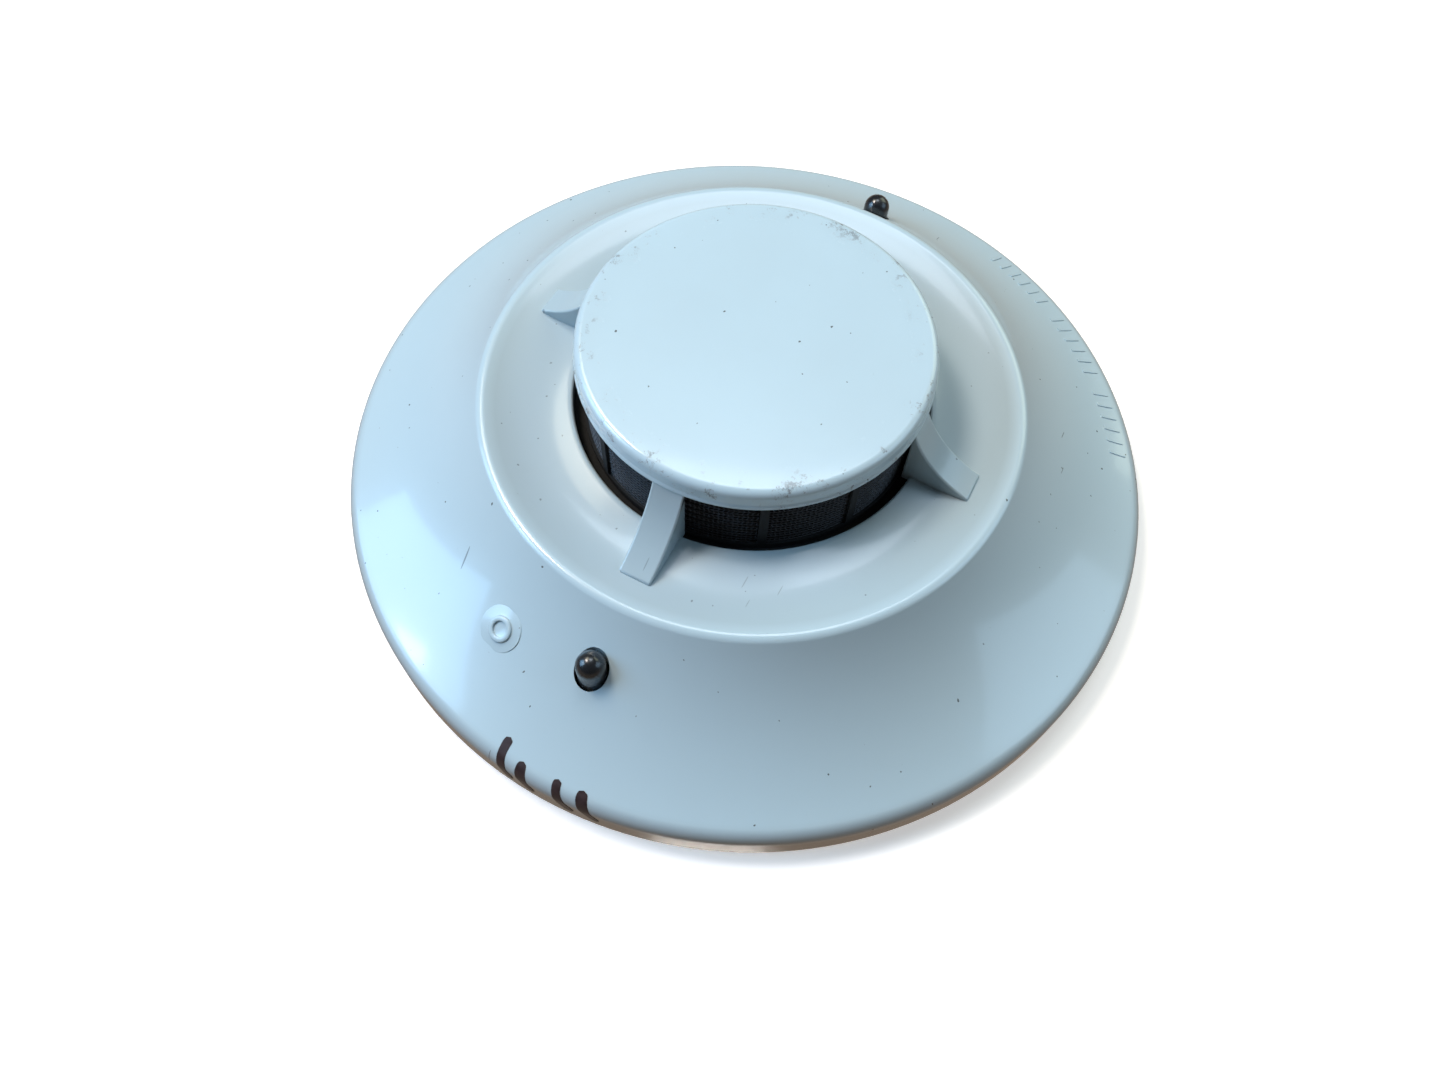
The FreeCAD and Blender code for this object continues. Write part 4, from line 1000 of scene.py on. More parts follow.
def studio_floor(name, glow):
    """Plain pale floor with the least trace of unevenness."""
    material = blank_material(name)
    nodes = material.node_tree.nodes
    links = material.node_tree.links
    place = nodes.new("ShaderNodeTexCoord")
    place.label = "Place on the floor"
    mottle = nodes.new("ShaderNodeTexNoise")
    mottle.label = "Faint mottle"
    tone = nodes.new("ShaderNodeMix")
    tone.label = "Two near whites"
    surface = nodes.new("ShaderNodeBsdfPrincipled")
    surface.label = "Floor"
    underside = nodes.new("ShaderNodeNewGeometry")
    underside.label = "Which side is seen"
    clear = nodes.new("ShaderNodeBsdfTransparent")
    clear.label = "Nothing from below"
    sides = nodes.new("ShaderNodeMixShader")
    sides.label = "Floor above, nothing below"
    output = nodes.new("ShaderNodeOutputMaterial")
    output.label = "Surface"

    spots = (
        (place, -700, 0), (mottle, -500, 0), (tone, -250, 0), (surface, 0, 0), (underside, 0, 300),
        (clear, 0, 120), (sides, 300, 100), (output, 500, 0))
    for node, x, y in spots:
        node.location = (x, y)

    mottle.inputs["Scale"].default_value = 6
    tone.data_type = "RGBA"
    tone.inputs["A"].default_value = (0.95, 0.91, 0.88, 1)
    tone.inputs["B"].default_value = (0.96, 0.93, 0.90, 1)
    surface.inputs["Roughness"].default_value = 0.9
    surface.inputs["Specular IOR Level"].default_value = 0.1
    surface.inputs["Emission Color"].default_value = (1, 0.96, 0.92, 1)
    surface.inputs["Emission Strength"].default_value = glow
    links.new(place.outputs["Object"], mottle.inputs["Vector"])
    links.new(mottle.outputs["Fac"], tone.inputs["Factor"])
    links.new(tone.outputs["Result"], surface.inputs["Base Color"])
    links.new(underside.outputs["Backfacing"], sides.inputs["Fac"])
    links.new(surface.outputs["BSDF"], sides.inputs[1])
    links.new(clear.outputs["BSDF"], sides.inputs[2])
    links.new(sides.outputs["Shader"], output.inputs["Surface"])
    return material


def pale_backdrop(name, glow):
    """Even pale surroundings, as bright as the far floor."""
    material = blank_material(name)
    nodes = material.node_tree.nodes
    links = material.node_tree.links
    light = nodes.new("ShaderNodeEmission")
    light.label = "Even paper"
    light.location = (0, 0)
    output = nodes.new("ShaderNodeOutputMaterial")
    output.label = "Surface"
    output.location = (250, 0)
    light.inputs["Color"].default_value = (1, 0.96, 0.92, 1)
    light.inputs["Strength"].default_value = glow
    links.new(light.outputs["Emission"], output.inputs["Surface"])
    return material


FINISHES = {}


def finish_recipes():
    """The maker of each finish, and the values that it takes after the name."""
    colours = settings().colours
    stage = settings().stage
    return {
        # The last value of each gloss white is how much painted shade the dish gets.
        "cover white": (gloss_white, colours.white, colours.white_worn, 0.27, 0, 0.5),
        # The cap's lighter white is painted light on one moulding with the cover.
        "lit cap white": (gloss_white, colours.lit_cap_white, colours.white_worn, 0.27, 1, 0),
        "housing white": (moulded, (0.60, 0.64, 0.65), 0.42, 0.25, 0.05),
        "screen black": (moulded, (0.012, 0.012, 0.012), 0.9, 0.35, 0.003),
        "chamber black": (moulded, colours.black, 0.62, 0.6, 0.015),
        "switch black": (moulded, (0.012, 0.012, 0.014), 0.45, 0.3, 0.03),
        "chip black": (moulded, (0.018, 0.018, 0.019), 0.5, 0.7, 0.03),
        "dial white": (moulded, (0.62, 0.62, 0.58), 0.4, 0.3, 0.1),
        "ceramic tan": (moulded, (0.36, 0.22, 0.11), 0.55, 0.4, 0.05),
        "blank label": (moulded, (0.70, 0.70, 0.67), 0.5, 0.2, 0.08),
        "sleeve blue": (moulded, (0.012, 0.02, 0.06), 0.3, 0.1, 0.03),
        "smoked lens": (clear_resin, colours.smoke, 0.24, 0.15),
        "clear lens": (clear_resin, (0.9, 0.93, 0.95), 0.03, 0.95),
        "reed glass": (clear_resin, (0.72, 0.85, 0.78), 0.02, 0.9),
        "woven wire": (plated, (0.13, 0.13, 0.14), (0.08, 0.08, 0.08), 0.55, 0.2),
        "tinned wire": (plated, (0.66, 0.66, 0.65), (0.5, 0.49, 0.46), 0.28, 0.2),
        "zinc screw": (plated, (0.62, 0.63, 0.65), (0.45, 0.44, 0.40), 0.3, 0.3),
        "bright can": (plated, (0.75, 0.75, 0.74), (0.62, 0.61, 0.58), 0.16, 0.1),
        "drawn aluminium": (plated, (0.70, 0.71, 0.73), (0.6, 0.6, 0.6), 0.26, 0.1),
        "contact brass": (plated, (0.72, 0.50, 0.20), (0.48, 0.33, 0.16), 0.25, 0.3),
        "solder resist": (solder_resist, colours.board),
        "marker ink": (marker_ink, colours.ink),
        "pale backdrop": (pale_backdrop, stage.backdrop_glow),
        "studio floor": (studio_floor, stage.floor_glow),
    }


def finish(name):
    """The named finish, made once."""
    if name not in FINISHES:
        maker, *values = finish_recipes()[name]
        FINISHES[name] = maker(name, *values)
    return FINISHES[name]


# ---- the cover's outside line --------------------------------------------------------------------

def cover_line():
    """Named points of the cover's outside line."""
    sizes = settings().cover
    rim = upright(sizes.wall_radius - sizes.rim_round, sizes.rim_height)
    ridge = upright(sizes.ridge_radius, sizes.ridge_height - sizes.ridge_round)
    skirt_foot = on_circle(rim, sizes.rim_round, QUARTER_TURN - sizes.skirt_foot_slope)
    skirt_top = on_circle(ridge, sizes.ridge_round, QUARTER_TURN - sizes.skirt_top_slope)
    bend = sizes.skirt_top_slope - sizes.skirt_foot_slope
    drop = (skirt_top - skirt_foot).length / 2 * math.tan(bend / 4)
    return {
        "rim": rim,
        "ridge": ridge,
        "skirt_foot": skirt_foot,
        "skirt_top": skirt_top,
        "skirt_drop": drop,
        "skirt_middle": hung_middle(skirt_top, skirt_foot, drop),
        "dish_edge": on_circle(ridge, sizes.ridge_round, QUARTER_TURN + sizes.dish_edge_slope),
    }


def outer_stretch(detail):
    """The outside line from the top of the skirt over the rim to the wall's foot."""
    sizes = settings().cover
    points = cover_line()
    skirt = arc_through(points["skirt_top"], points["skirt_middle"], points["skirt_foot"], 6 * detail)
    rim = arc_about(points["rim"], sizes.rim_round, QUARTER_TURN - sizes.skirt_foot_slope, 0, 2 * detail)
    wall = [upright(sizes.wall_radius, sizes.foot_height)]
    return strung(skirt, rim, wall)


def along_line(points, distance):
    """The point at a distance along a line of points, and the outward direction there."""
    left = distance
    for start, end in zip(points, points[1:]):
        step = end - start
        if left <= step.length or end is points[-1]:
            way = step.normalized()
            return start + way * left, Vector((-way.z, 0, way.x))
        left -= step.length
    raise ValueError("the line has no length")


# ---- cover pieces --------------------------------------------------------------------------------

class DETECTOR_OT_cover_skin(bpy.types.Operator):
    """Turn the skirt, ridge and dish, and cut the two indicator holes"""

    bl_idname = "detector.cover_skin"
    bl_label = "Cover skin"

    def execute(self, context):
        sizes = settings().cover
        points = cover_line()
        detail = 5
        cutter_foot = 5 * MM
        cutter_top = 20 * MM
        mouth_centre = upright(sizes.mouth_radius + sizes.mouth_round, sizes.mouth_height - sizes.mouth_round)
        mouth_top = mouth_centre + upright(0, sizes.mouth_round)
        mouth_foot = upright(sizes.mouth_radius, sizes.mouth_height - sizes.skin)
        dish_middle = upright(sizes.dish_low_radius, sizes.dish_low_height)
        dish_under = upright(sizes.dish_low_radius, sizes.dish_low_height - sizes.skin)
        ridge_under = upright(sizes.ridge_radius, sizes.ridge_height - sizes.skin - sizes.mouth_round)
        inner_round = sizes.rim_round - sizes.skin
        skirt_under = on_circle(points["rim"], inner_round, QUARTER_TURN - sizes.skirt_foot_slope)
        wall_inner = sizes.wall_radius - sizes.skin
        outline = strung(
            arc_about(mouth_centre, sizes.mouth_round, math.pi, QUARTER_TURN, detail),
            arc_through(mouth_top, dish_middle, points["dish_edge"], 4 * detail),
            arc_about(points["ridge"], sizes.ridge_round, QUARTER_TURN + sizes.dish_edge_slope,
                      QUARTER_TURN - sizes.skirt_top_slope, 2 * detail),
            outer_stretch(detail),
            [upright(wall_inner, sizes.foot_height)],
            arc_about(points["rim"], inner_round, 0, QUARTER_TURN - sizes.skirt_foot_slope, detail),
            arc_through(skirt_under, hung_middle(skirt_under, ridge_under, points["skirt_drop"]), ridge_under,
                        3 * detail),
            arc_through(ridge_under, dish_under, mouth_foot, 2 * detail),
        )
        skin = turned("cover_skin", outline, True, sizes.steps)
        lens_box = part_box("status_led_front")
        lens_radius = -(lens_box[0].y + lens_box[1].y) / 2
        cutters = []
        for side in (-1, 1):
            place = Vector((0, side * lens_radius, 0))
            cutters.append(round_rod("hole cutter", sizes.indicator_hole, cutter_foot, cutter_top, place))
        cut_by(skin, cutters)
        shaded(skin)
        softened(skin, 0.12 * MM)
        fit_out(skin, "cover", finish("cover white"))
        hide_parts("cover")
        return {"FINISHED"}


class DETECTOR_OT_cap(bpy.types.Operator):
    """Turn the round cap with its softened edge and the thin bead at its foot"""

    bl_idname = "detector.cap"
    bl_label = "Cap"

    def execute(self, context):
        sizes = settings().cap
        edge = upright(sizes.radius - sizes.edge_round, sizes.top_height - sizes.edge_round)
        bead_top = sizes.foot_height + sizes.bead_height
        bead_step = sizes.bead_radius - sizes.radius
        roof = sizes.top_height - sizes.roof
        rings = [upright(sizes.radius * share, sizes.top_height) for share in (0, 0.3, 0.6, 0.85)]
        outline = strung(
            rings,
            arc_about(edge, sizes.edge_round, QUARTER_TURN, 0, 8),
            [upright(sizes.radius, bead_top + bead_step / 2),
             upright(sizes.bead_radius, bead_top - bead_step),
             upright(sizes.bead_radius, sizes.foot_height + bead_step),
             upright(sizes.bead_radius - bead_step, sizes.foot_height),
             upright(sizes.lip_radius, sizes.foot_height),
             upright(sizes.lip_radius, roof),
             upright(sizes.lip_radius / 2, roof),
             upright(0, roof)],
        )
        cap = turned("cover_cap", outline, False, settings().cover.steps)
        softened(cap, 0.1 * MM)
        fit_out(cap, "cover", finish("lit cap white"))
        return {"FINISHED"}


class DETECTOR_OT_ribs(bpy.types.Operator):
    """Build the ribs that carry the cap, each with a hollow curved back"""

    bl_idname = "detector.ribs"
    bl_label = "Ribs"

    def execute(self, context):
        sizes = settings().cap
        top = upright(sizes.radius, sizes.foot_height + sizes.bead_height / 2)
        foot = upright(sizes.rib_foot_radius, sizes.rib_foot_height)
        sink = 0.8 * MM
        overlap = 0.1 * MM
        sunk = settings().cover.dish_low_height - sink
        back = arc_through(foot, hung_middle(foot, top, sizes.rib_hollow), top, 12)
        under_lip = upright(sizes.lip_radius + overlap, top.z)
        outline = strung(
            [upright(sizes.rib_foot_radius, sunk)],
            back,
            [under_lip,
             upright(under_lip.x, sizes.foot_height - overlap),
             upright(sizes.rib_inner_radius, sizes.foot_height - overlap),
             upright(sizes.rib_inner_radius, sunk)],
        )

        def fill(work):
            for index in range(4):
                add_prism(work, outline, sizes.rib_thickness, turned_to(index * QUARTER_TURN))

        ribs = mesh_object("cover_ribs", fill)
        shaded(ribs)
        softened(ribs, sizes.rib_edge, 3)
        fit_out(ribs, "cover", finish("cover white"))
        return {"FINISHED"}


class DETECTOR_OT_latch_tabs(bpy.types.Operator):
    """Build the four latch tabs under the skirt"""

    bl_idname = "detector.latch_tabs"
    bl_label = "Latch tabs"

    def execute(self, context):
        inner = 46.0 * MM
        outer = 47.2 * MM
        nose = 0.5 * MM
        low = 1.2 * MM
        high = 6.6 * MM
        width = 6 * MM
        outline = [
            upright(inner, low), upright(outer, low), upright(outer + nose, low + nose),
            upright(outer + nose, low + 1.5 * nose), upright(outer, low + 2 * nose),
            upright(outer, high), upright(inner, high)]

        def fill(work):
            for index in range(4):
                add_prism(work, outline, width, turned_to((index + 0.5) * QUARTER_TURN))

        tabs = mesh_object("cover_latch_tabs", fill)
        softened(tabs, 0.12 * MM)
        fit_out(tabs, "cover", finish("cover white"))
        return {"FINISHED"}


class DETECTOR_OT_marker_ring(bpy.types.Operator):
    """Build the raised ring on the skirt and the faint round pad under it"""

    bl_idname = "detector.marker_ring"
    bl_label = "Marker ring"

    azimuth: FloatProperty(name="Azimuth", description="Place round the skirt",
                           default=math.radians(-107.2), subtype="ANGLE")
    radius: FloatProperty(name="Radius", description="Distance from the axis",
                          default=41.1 * MM, unit="LENGTH")

    def execute(self, context):
        line = outer_stretch(8)
        nearest = min(range(1, len(line) - 1), key=lambda i: abs(line[i].x - self.radius))
        fall = line[nearest + 1] - line[nearest - 1]
        share = (self.radius - line[nearest].x) / fall.x
        foot = line[nearest] + fall * share
        slope = math.atan2(-fall.z, fall.x)
        ring_rise = 0.38 * MM
        pad = 2.8 * MM
        pad_rise = 0.08 * MM
        root = -0.6 * MM
        outline = [
            upright(0, pad_rise), upright(0.93 * MM, pad_rise), upright(0.95 * MM, 0.33 * MM),
            upright(1.05 * MM, ring_rise), upright(1.42 * MM, ring_rise), upright(1.55 * MM, 0.3 * MM),
            upright(1.58 * MM, 0.09 * MM), upright(2.74 * MM, pad_rise), upright(pad, 0.03 * MM),
            upright(pad, root), upright(0, root)]
        ring = turned("cover_marker_ring", outline, False, 64)
        softened(ring, 0.05 * MM)
        applied(ring)
        tilt = Matrix.Translation(foot) @ Matrix.Rotation(slope, 4, "Y")
        ring.data.transform(turned_to(self.azimuth) @ tilt)
        fit_out(ring, "cover", finish("cover white"))
        return {"FINISHED"}


class DETECTOR_OT_rim_ticks(bpy.types.Operator):
    """Build the arc of plain raised ticks near the rim"""

    bl_idname = "detector.rim_ticks"
    bl_label = "Rim ticks"

    first: FloatProperty(name="First", description="Azimuth of the first tick",
                         default=math.radians(26.3), subtype="ANGLE")
    step: FloatProperty(name="Step", description="Angle from one tick to the next",
                        default=math.radians(2.25), subtype="ANGLE")
    count: IntProperty(name="Count", description="Ticks and gaps together", default=21)
    group: IntProperty(name="Group", description="Every tick of this number is left out", default=7)

    def execute(self, context):
        inner = 47.6 * MM
        outer = 50.3 * MM
        lowest = 5.5 * MM
        width = 0.5 * MM
        rise = upright(0, 0.13 * MM)
        line = [p for p in outer_stretch(12) if inner < p.x < outer and p.z > lowest]
        outline = [p - rise for p in line] + [p + rise for p in reversed(line)]

        def fill(work):
            for index in range(self.count):
                if (index + 1) % self.group:
                    add_prism(work, outline, width, turned_to(self.first + index * self.step))

        ticks = mesh_object("cover_rim_ticks", fill)
        softened(ticks, 0.05 * MM)
        fit_out(ticks, "cover", finish("cover white"))
        return {"FINISHED"}


class DETECTOR_OT_marker_strokes(bpy.types.Operator):
    """Draw the plain marker strokes over the rim as thin films that follow the surface"""

    bl_idname = "detector.marker_strokes"
    bl_label = "Marker strokes"

    width: FloatProperty(name="Width", description="Width of a stroke", default=1.35 * MM, unit="LENGTH")
    film: FloatProperty(name="Film", description="Half the thickness of the ink",
                        default=0.045 * MM, unit="LENGTH")

    def execute(self, context):
        line = outer_stretch(8)
        total = sum((b - a).length for a, b in zip(line, line[1:]))
        wall = settings().cover.wall_radius
        strokes = (
            ((-96.4, 7.9), (-96.8, 6.2), (-95.8, 3.8), (-94.6, 1.5)),
            ((-93.2, 6.4), (-93.4, 5.0), (-92.4, 3.0), (-91.2, 1.5)),
            ((-88.0, 6.6), (-88.2, 5.2), (-87.0, 3.2), (-85.6, 1.5)),
            ((-84.4, 6.6), (-84.6, 5.2), (-83.4, 3.2), (-82.0, 1.5)),
        )

        def fill(work):
            for stroke in strokes:
                self.add_stroke(work, stroke, line, total, wall)

        ink = mesh_object("marker_strokes", fill)
        shaded(ink, math.radians(60))
        fit_out(ink, "cover", finish("marker ink"))
        return {"FINISHED"}

    def add_stroke(self, work, stroke, line, total, wall):
        """One closed film along a smooth line of (azimuth in degrees, run up from the wall's foot in mm)."""
        knots = [Vector((math.radians(a) * wall, run * MM, 0)) for a, run in stroke]
        parts = 20
        peek = 0.02
        narrowest = 0.08
        rows = []
        for i in range(parts + 1):
            share = i / parts
            spot = bezier_spot(knots, share)
            ahead = bezier_spot(knots, min(1, share + peek)) - bezier_spot(knots, max(0, share - peek))
            side = Vector((-ahead.y, ahead.x, 0)).normalized()
            round_end = math.sqrt(max(0, 1 - (2 * share - 1) ** 10))
            unsteady = 0.92 + 0.12 * math.sin(5 * share + knots[0].x * 900)
            half = self.width / 2 * max(narrowest, round_end) * unsteady
            rows.append([self.on_cover(spot + side * half * across, line, total, wall)
                         for across in (-1, -0.4, 0.4, 1)])
        lower = [[work.verts.new(p - out * self.film) for p, out in row] for row in rows]
        upper = [[work.verts.new(p + out * self.film) for p, out in row] for row in rows]
        last = len(rows[0]) - 1
        for i in range(parts):
            for j in range(last):
                work.faces.new((upper[i][j], upper[i][j + 1], upper[i + 1][j + 1], upper[i + 1][j]))
                work.faces.new((lower[i][j], lower[i + 1][j], lower[i + 1][j + 1], lower[i][j + 1]))
            work.faces.new((upper[i][0], upper[i + 1][0], lower[i + 1][0], lower[i][0]))
            work.faces.new((upper[i][last], lower[i][last], lower[i + 1][last], upper[i + 1][last]))
        for i in (0, parts):
            for j in range(last):
                work.faces.new((upper[i][j], upper[i][j + 1], lower[i][j + 1], lower[i][j]))

    def on_cover(self, spot, line, total, wall):
        """A point on the cover's outside, and the outward direction there."""
        point, out = along_line(line, total - spot.y)
        place = turned_to(spot.x / wall)
        return place @ point, place @ out


def bezier_spot(knots, share):
    """A point on the smooth curve that the knots steer."""
    points = list(knots)
    while len(points) > 1:
        points = [a.lerp(b, share) for a, b in zip(points, points[1:])]
    return points[0]


# ---- insect screen -------------------------------------------------------------------------------

class DETECTOR_OT_insect_screen(bpy.types.Operator):
    """Build the woven mesh and finish the frame that holds it"""

    bl_idname = "detector.insect_screen"
    bl_label = "Insect screen"

    pitch: FloatProperty(name="Pitch", description="Distance between wires", default=0.55 * MM, unit="LENGTH")
    wire: FloatProperty(name="Wire", description="Thickness of a wire", default=0.16 * MM, unit="LENGTH")

    def execute(self, context):
        low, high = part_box("screen_mesh")
        inset = 0.1 * MM
        radius = high.x - inset
        around = int(FULL_TURN * radius / self.pitch)
        rows = int((high.z - low.z) / self.pitch)
        step = (high.z - low.z) / rows

        def fill(work):
            rings = []
            for i in range(rows + 1):
                ring = []
                for j in range(around):
                    azimuth = FULL_TURN * (j + (i % 2) * 0.5) / around
                    ring.append(work.verts.new((radius * math.cos(azimuth), radius * math.sin(azimuth),
                                                low.z + i * step)))
                rings.append(ring)
            for lower, upper in zip(rings, rings[1:]):
                for j in range(around):
                    following = (j + 1) % around
                    work.faces.new((lower[j], lower[following], upper[following], upper[j]))

        mesh = mesh_object("woven_screen", fill)
        wires = mesh.modifiers.new("wires", "WIREFRAME")
        wires.thickness = self.wire
        wires.use_even_offset = False
        fit_out(mesh, "cover", finish("woven wire"))
        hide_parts("screen_mesh")
        finish_nodes(["insect_screen"], finish("screen black"))
        return {"FINISHED"}


# ---- indicators ----------------------------------------------------------------------------------

class DETECTOR_OT_indicators(bpy.types.Operator):
    """Turn the two smoked indicator lenses and finish their spacers and leads"""

    bl_idname = "detector.indicators"
    bl_label = "Indicators"

    def execute(self, context):
        pairs = (("status_led_front", "indicator_front"), ("status_led_rear", "indicator_rear"))
        for name, piece_name in pairs:
            low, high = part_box(name)
            middle = (low + high) / 2
            flange = (high.x - low.x) / 2
            lens = 1.75 * MM
            flange_top = low.z + 0.8 * MM
            shoulder = high.z - lens
            outline = strung(
                arc_about(upright(0, shoulder), lens, QUARTER_TURN, 0, 14),
                [upright(lens, flange_top), upright(flange, flange_top), upright(flange, low.z),
                 upright(0, low.z)],
            )
            piece = turned(piece_name, outline, False, SMALL_STEPS)
            softened(piece, 0.05 * MM)
            applied(piece)
            piece.data.transform(Matrix.Translation((middle.x, middle.y, 0)))
            fit_out(piece, "head", finish("smoked lens"))
            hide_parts(name)
        finish_nodes(["led_spacers"], finish("screen black"))
        finish_nodes(["led_leads"], finish("tinned wire"))
        return {"FINISHED"}


# ---- inside --------------------------------------------------------------------------------------

class DETECTOR_OT_chamber(bpy.types.Operator):
    """Finish the smoke chamber and its optical pieces"""

    bl_idname = "detector.chamber"
    bl_label = "Smoke chamber"

    def execute(self, context):
        finish_nodes(["chamber_cover", "chamber_base", "emitter_clip"], finish("chamber black"))
        finish_nodes(["infrared_emitter"], finish("smoked lens"))
        finish_nodes(["photodiode"], finish("chip black"))
        finish_nodes(["photodiode_lens"], finish("clear lens"))
        finish_nodes(["photodiode_shield", "emitter_leads"], finish("tinned wire"))
        return {"FINISHED"}


def add_gull_lead(work, size, reach, place):
    """One gull-wing lead: out of the package, down, and flat on the board, drawn in XZ and placed."""
    wide, thick, height = size
    half = height / 2
    outline = [
        upright(0, half), upright(reach * 0.35, half), upright(reach * 0.55, thick), upright(reach, thick),
        upright(reach, 0), upright(reach * 0.42, 0), upright(reach * 0.24, half - thick),
        upright(0, half - thick)]
    add_prism(work, outline, wide, place)


class DETECTOR_OT_board(bpy.types.Operator):
    """Finish the circuit board and add the leads and sleeve of what stands on it"""

    bl_idname = "detector.board"
    bl_label = "Circuit board"

    def execute(self, context):
        finish_nodes(["circuit_board"], finish("solder resist"))
        finish_nodes(["microcontroller", "bridge_rectifier", "chip_resistors", "transistors", "surge_diodes"],
                     finish("chip black"))
        finish_nodes(["chip_capacitors"], finish("ceramic tan"))
        finish_nodes(["electrolytic_capacitor"], finish("drawn aluminium"))
        finish_nodes(["crystal"], finish("bright can"))
        finish_nodes(["reed_switch"], finish("reed glass"))
        finish_nodes(["reed_leads"], finish("tinned wire"))
        finish_nodes(["board_screws"], finish("zinc screw"))
        self.add_controller_leads()
        self.add_capacitor_sleeve()
        return {"FINISHED"}

    def add_controller_leads(self):
        """Eight gull-wing leads on each side of the microcontroller."""
        low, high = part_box("microcontroller")
        middle = (low + high) / 2
        package = 7 * MM
        tuck = 0.05 * MM
        pitch = 0.8 * MM
        per_side = 8
        lead = (0.35 * MM, 0.15 * MM, high.z - low.z)
        reach = 1.1 * MM
        azimuth = math.radians(50)
        stand = Matrix.Translation((middle.x, middle.y, low.z))

        def fill(work):
            for edge in range(4):
                side = stand @ turned_to(azimuth + edge * QUARTER_TURN)
                for index in range(per_side):
                    along = (index - (per_side - 1) / 2) * pitch
                    place = side @ Matrix.Translation((package / 2 - tuck, along, 0))
                    add_gull_lead(work, lead, reach, place)

        leads = mesh_object("controller_leads", fill)
        fit_out(leads, "head", finish("tinned wire"))

    def add_capacitor_sleeve(self):
        """The dark shrink sleeve round the capacitor's can, open over its top."""
        low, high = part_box("electrolytic_capacitor")
        middle = (low + high) / 2
        can = (high.x - low.x) / 2
        film = 0.08 * MM
        opening = can - 0.7 * MM
        foot = low.z + 0.1 * MM
        groove = low.z + 1.0 * MM
        groove_half = 0.4 * MM
        outline = [
            upright(opening, high.z + film), upright(can - 0.2 * MM, high.z + film),
            upright(can + film, high.z - 0.3 * MM), upright(can + film, groove + groove_half),
            upright(can - 0.22 * MM, groove), upright(can + film, groove - groove_half),
            upright(can + film, foot), upright(can - film, foot),
            upright(can - film, high.z - 0.35 * MM), upright(opening, high.z - film)]
        sleeve = turned("capacitor_sleeve", outline, True, SMALL_STEPS)
        softened(sleeve, 0.06 * MM)
        applied(sleeve)
        sleeve.data.transform(Matrix.Translation((middle.x, middle.y, 0)))
        fit_out(sleeve, "head", finish("sleeve blue"))


class DETECTOR_OT_back(bpy.types.Operator):
    """Finish the back housing, its contacts, the address switches and the blank label"""

    bl_idname = "detector.back"
    bl_label = "Back"

    def execute(self, context):
        finish_nodes(["back_housing"], finish("housing white"))
        finish_nodes(["terminal_blades"], finish("contact brass"))
        finish_nodes(["terminal_rivets"], finish("tinned wire"))
        finish_nodes(["tens_switch_body", "units_switch_body"], finish("switch black"))
        finish_nodes(["tens_dial", "units_dial"], finish("dial white"))
        finish_nodes(["back_label"], finish("blank label"))
        return {"FINISHED"}


# ---- stage ---------------------------------------------------------------------------------------

SOFT_LIGHTS = (
    # name, azimuth, elevation, watts, colour, size against the common size
    ("window above", 180, 60, 2.1, (1.0, 0.9, 0.85), 0.4),
    ("blue window", 205, 30, 3.2, (0.35, 0.65, 1.0), 1),
    ("window behind", 160, 55, 1.0, (1.0, 0.95, 0.75), 0.6),
    ("ceiling", 110, 70, 1.2, (0.8, 0.9, 1.0), 0.6),
    ("far lamp", 70, 30, 1.1, (0.9, 1.0, 0.8), 1),
    ("right wall", 20, 30, 1.1, (0.5, 0.75, 1.0), 1),
    ("window bar", 210, 40, 0.4, (0.85, 0.95, 1.0), 0.25),
    ("glass table", 290, -85, 0.9, (1.0, 0.95, 0.9), 0.3),
)


def add_soft_light(name, azimuth, elevation, watts, colour, size):
    """A square soft light in a direction given in degrees, aimed at the detector's middle."""
    stage = settings().stage
    middle = Vector((0, 0, 15 * MM))
    turn = math.radians(azimuth)
    rise = math.radians(elevation)
    way = Vector((math.cos(turn) * math.cos(rise), math.sin(turn) * math.cos(rise), math.sin(rise)))
    lamp = bpy.data.lights.new(name, "AREA")
    lamp.energy = watts
    lamp.size = stage.light_size * size
    lamp.color = colour
    light = bpy.data.objects.new(name, lamp)
    light.location = middle + way * stage.light_distance
    light.rotation_mode = "QUATERNION"
    light.rotation_quaternion = (-way).to_track_quat("-Z", "Y")
    light.visible_camera = False
    bpy.context.scene.collection.objects.link(light)


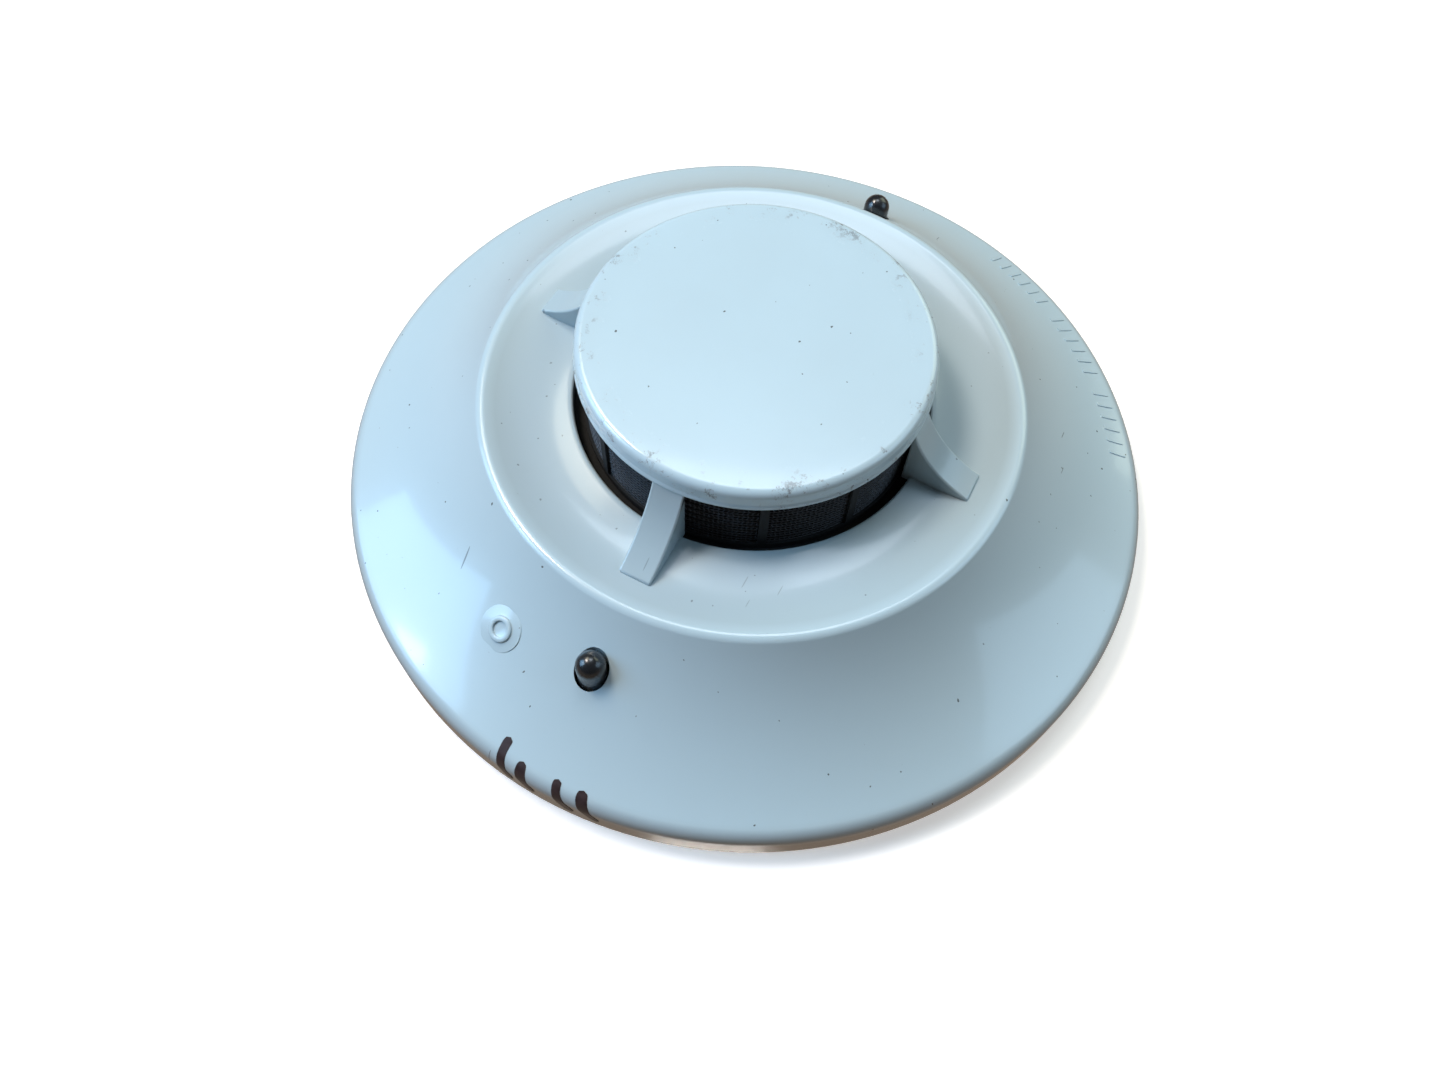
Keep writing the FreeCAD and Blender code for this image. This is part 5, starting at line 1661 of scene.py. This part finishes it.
class DETECTOR_OT_stage(bpy.types.Operator):
    """Set up the floor, the soft light and the camera"""

    bl_idname = "detector.stage"
    bl_label = "Stage"

    def execute(self, context):
        stage = settings().stage
        floor_half = 6

        def fill(work):
            bmesh.ops.create_grid(work, x_segments=8, y_segments=8, size=floor_half)

        def surround(work):
            bmesh.ops.create_icosphere(work, subdivisions=5, radius=stage.backdrop_radius)

        floor = mesh_object("floor", fill)
        if floor.data.polygons[0].normal.z < 0:
            floor.data.flip_normals()
        backdrop = mesh_object("backdrop", surround)
        for piece, material in ((floor, "studio floor"), (backdrop, "pale backdrop")):
            piece.data.materials.append(finish(material))
            piece.visible_diffuse = False
            piece.visible_glossy = False
            piece.visible_transmission = False
            piece.visible_shadow = False
        self.add_sky(stage.sky, stage.table_glow)
        for light in SOFT_LIGHTS:
            add_soft_light(*light)
        self.add_camera(stage)
        context.scene.view_settings.view_transform = "Standard"
        context.scene.view_settings.look = "None"
        return {"FINISHED"}

    def add_sky(self, strength, table_glow):
        """Even pale light from above, and the warm light of the table from below."""
        world = bpy.data.worlds.new("studio sky")
        world.use_nodes = True
        nodes = world.node_tree.nodes
        links = world.node_tree.links
        nodes.clear()
        way = nodes.new("ShaderNodeTexCoord")
        way.label = "Direction"
        heights = nodes.new("ShaderNodeSeparateXYZ")
        heights.label = "How far up"
        horizon = nodes.new("ShaderNodeMapRange")
        horizon.label = "Soft horizon"
        table = nodes.new("ShaderNodeBackground")
        table.label = "Warm table"
        sky = nodes.new("ShaderNodeBackground")
        sky.label = "Even sky"
        halves = nodes.new("ShaderNodeMixShader")
        halves.label = "Table below, sky above"
        output = nodes.new("ShaderNodeOutputWorld")
        output.label = "World"

        spots = (
            (way, -900, 0), (heights, -700, 0), (horizon, -500, 0), (table, -250, 100),
            (sky, -250, -100), (halves, 0, 0), (output, 250, 0))
        for node, x, y in spots:
            node.location = (x, y)

        horizon.inputs["From Min"].default_value = -0.1
        horizon.inputs["From Max"].default_value = 0.1
        table.inputs["Color"].default_value = (1.0, 0.80, 0.62, 1)
        table.inputs["Strength"].default_value = table_glow
        sky.inputs["Color"].default_value = (0.93, 0.97, 1.0, 1)
        sky.inputs["Strength"].default_value = strength
        links.new(way.outputs["Generated"], heights.inputs["Vector"])
        links.new(heights.outputs["Z"], horizon.inputs["Value"])
        links.new(horizon.outputs["Result"], halves.inputs["Fac"])
        links.new(table.outputs["Background"], halves.inputs[1])
        links.new(sky.outputs["Background"], halves.inputs[2])
        links.new(halves.outputs["Shader"], output.inputs["Surface"])
        bpy.context.scene.world = world

    def add_camera(self, stage):
        """The camera, aimed and rolled."""
        lens = bpy.data.cameras.new("camera")
        lens.lens = stage.lens
        lens.sensor_width = 36
        lens.clip_start = 0.005
        lens.clip_end = 20
        camera = bpy.data.objects.new("camera", lens)
        camera.location = stage.camera_place
        camera.rotation_mode = "QUATERNION"
        aim = Vector(stage.camera_aim) - Vector(stage.camera_place)
        roll = Matrix.Rotation(stage.camera_roll, 3, "Z").to_quaternion()
        camera.rotation_quaternion = aim.to_track_quat("-Z", "Y") @ roll
        bpy.context.scene.collection.objects.link(camera)
        bpy.context.scene.camera = camera


class DETECTOR_PT_panel(bpy.types.Panel):
    """Everything the detector is made of"""

    bl_idname = "DETECTOR_PT_panel"
    bl_label = "Smoke Detector Head"
    bl_space_type = "VIEW_3D"
    bl_region_type = "UI"
    bl_category = "Detector"

    def draw(self, context):
        for operator in PIECES:
            self.layout.operator(operator.bl_idname)


PIECES = (
    DETECTOR_OT_stage,
    DETECTOR_OT_cover_skin,
    DETECTOR_OT_cap,
    DETECTOR_OT_ribs,
    DETECTOR_OT_latch_tabs,
    DETECTOR_OT_marker_ring,
    DETECTOR_OT_rim_ticks,
    DETECTOR_OT_marker_strokes,
    DETECTOR_OT_insect_screen,
    DETECTOR_OT_indicators,
    DETECTOR_OT_chamber,
    DETECTOR_OT_board,
    DETECTOR_OT_back,
)
CLASSES = (CoverSizes, CapSizes, FinishColours, StageSettings, DetectorSettings, *PIECES, DETECTOR_PT_panel)


def register():
    for cls in CLASSES:
        bpy.utils.register_class(cls)
    bpy.types.Scene.detector = PointerProperty(type=DetectorSettings)


def unregister():
    del bpy.types.Scene.detector
    for cls in reversed(CLASSES):
        bpy.utils.unregister_class(cls)


def main():
    """Builds every piece in order."""
    register()
    bpy.ops.detector.stage()
    bpy.ops.detector.cover_skin()
    bpy.ops.detector.cap()
    bpy.ops.detector.ribs()
    bpy.ops.detector.latch_tabs()
    bpy.ops.detector.marker_ring()
    bpy.ops.detector.rim_ticks()
    bpy.ops.detector.marker_strokes()
    bpy.ops.detector.insect_screen()
    bpy.ops.detector.indicators()
    bpy.ops.detector.chamber()
    bpy.ops.detector.board()
    bpy.ops.detector.back()


if __name__ == "__main__":
    main()
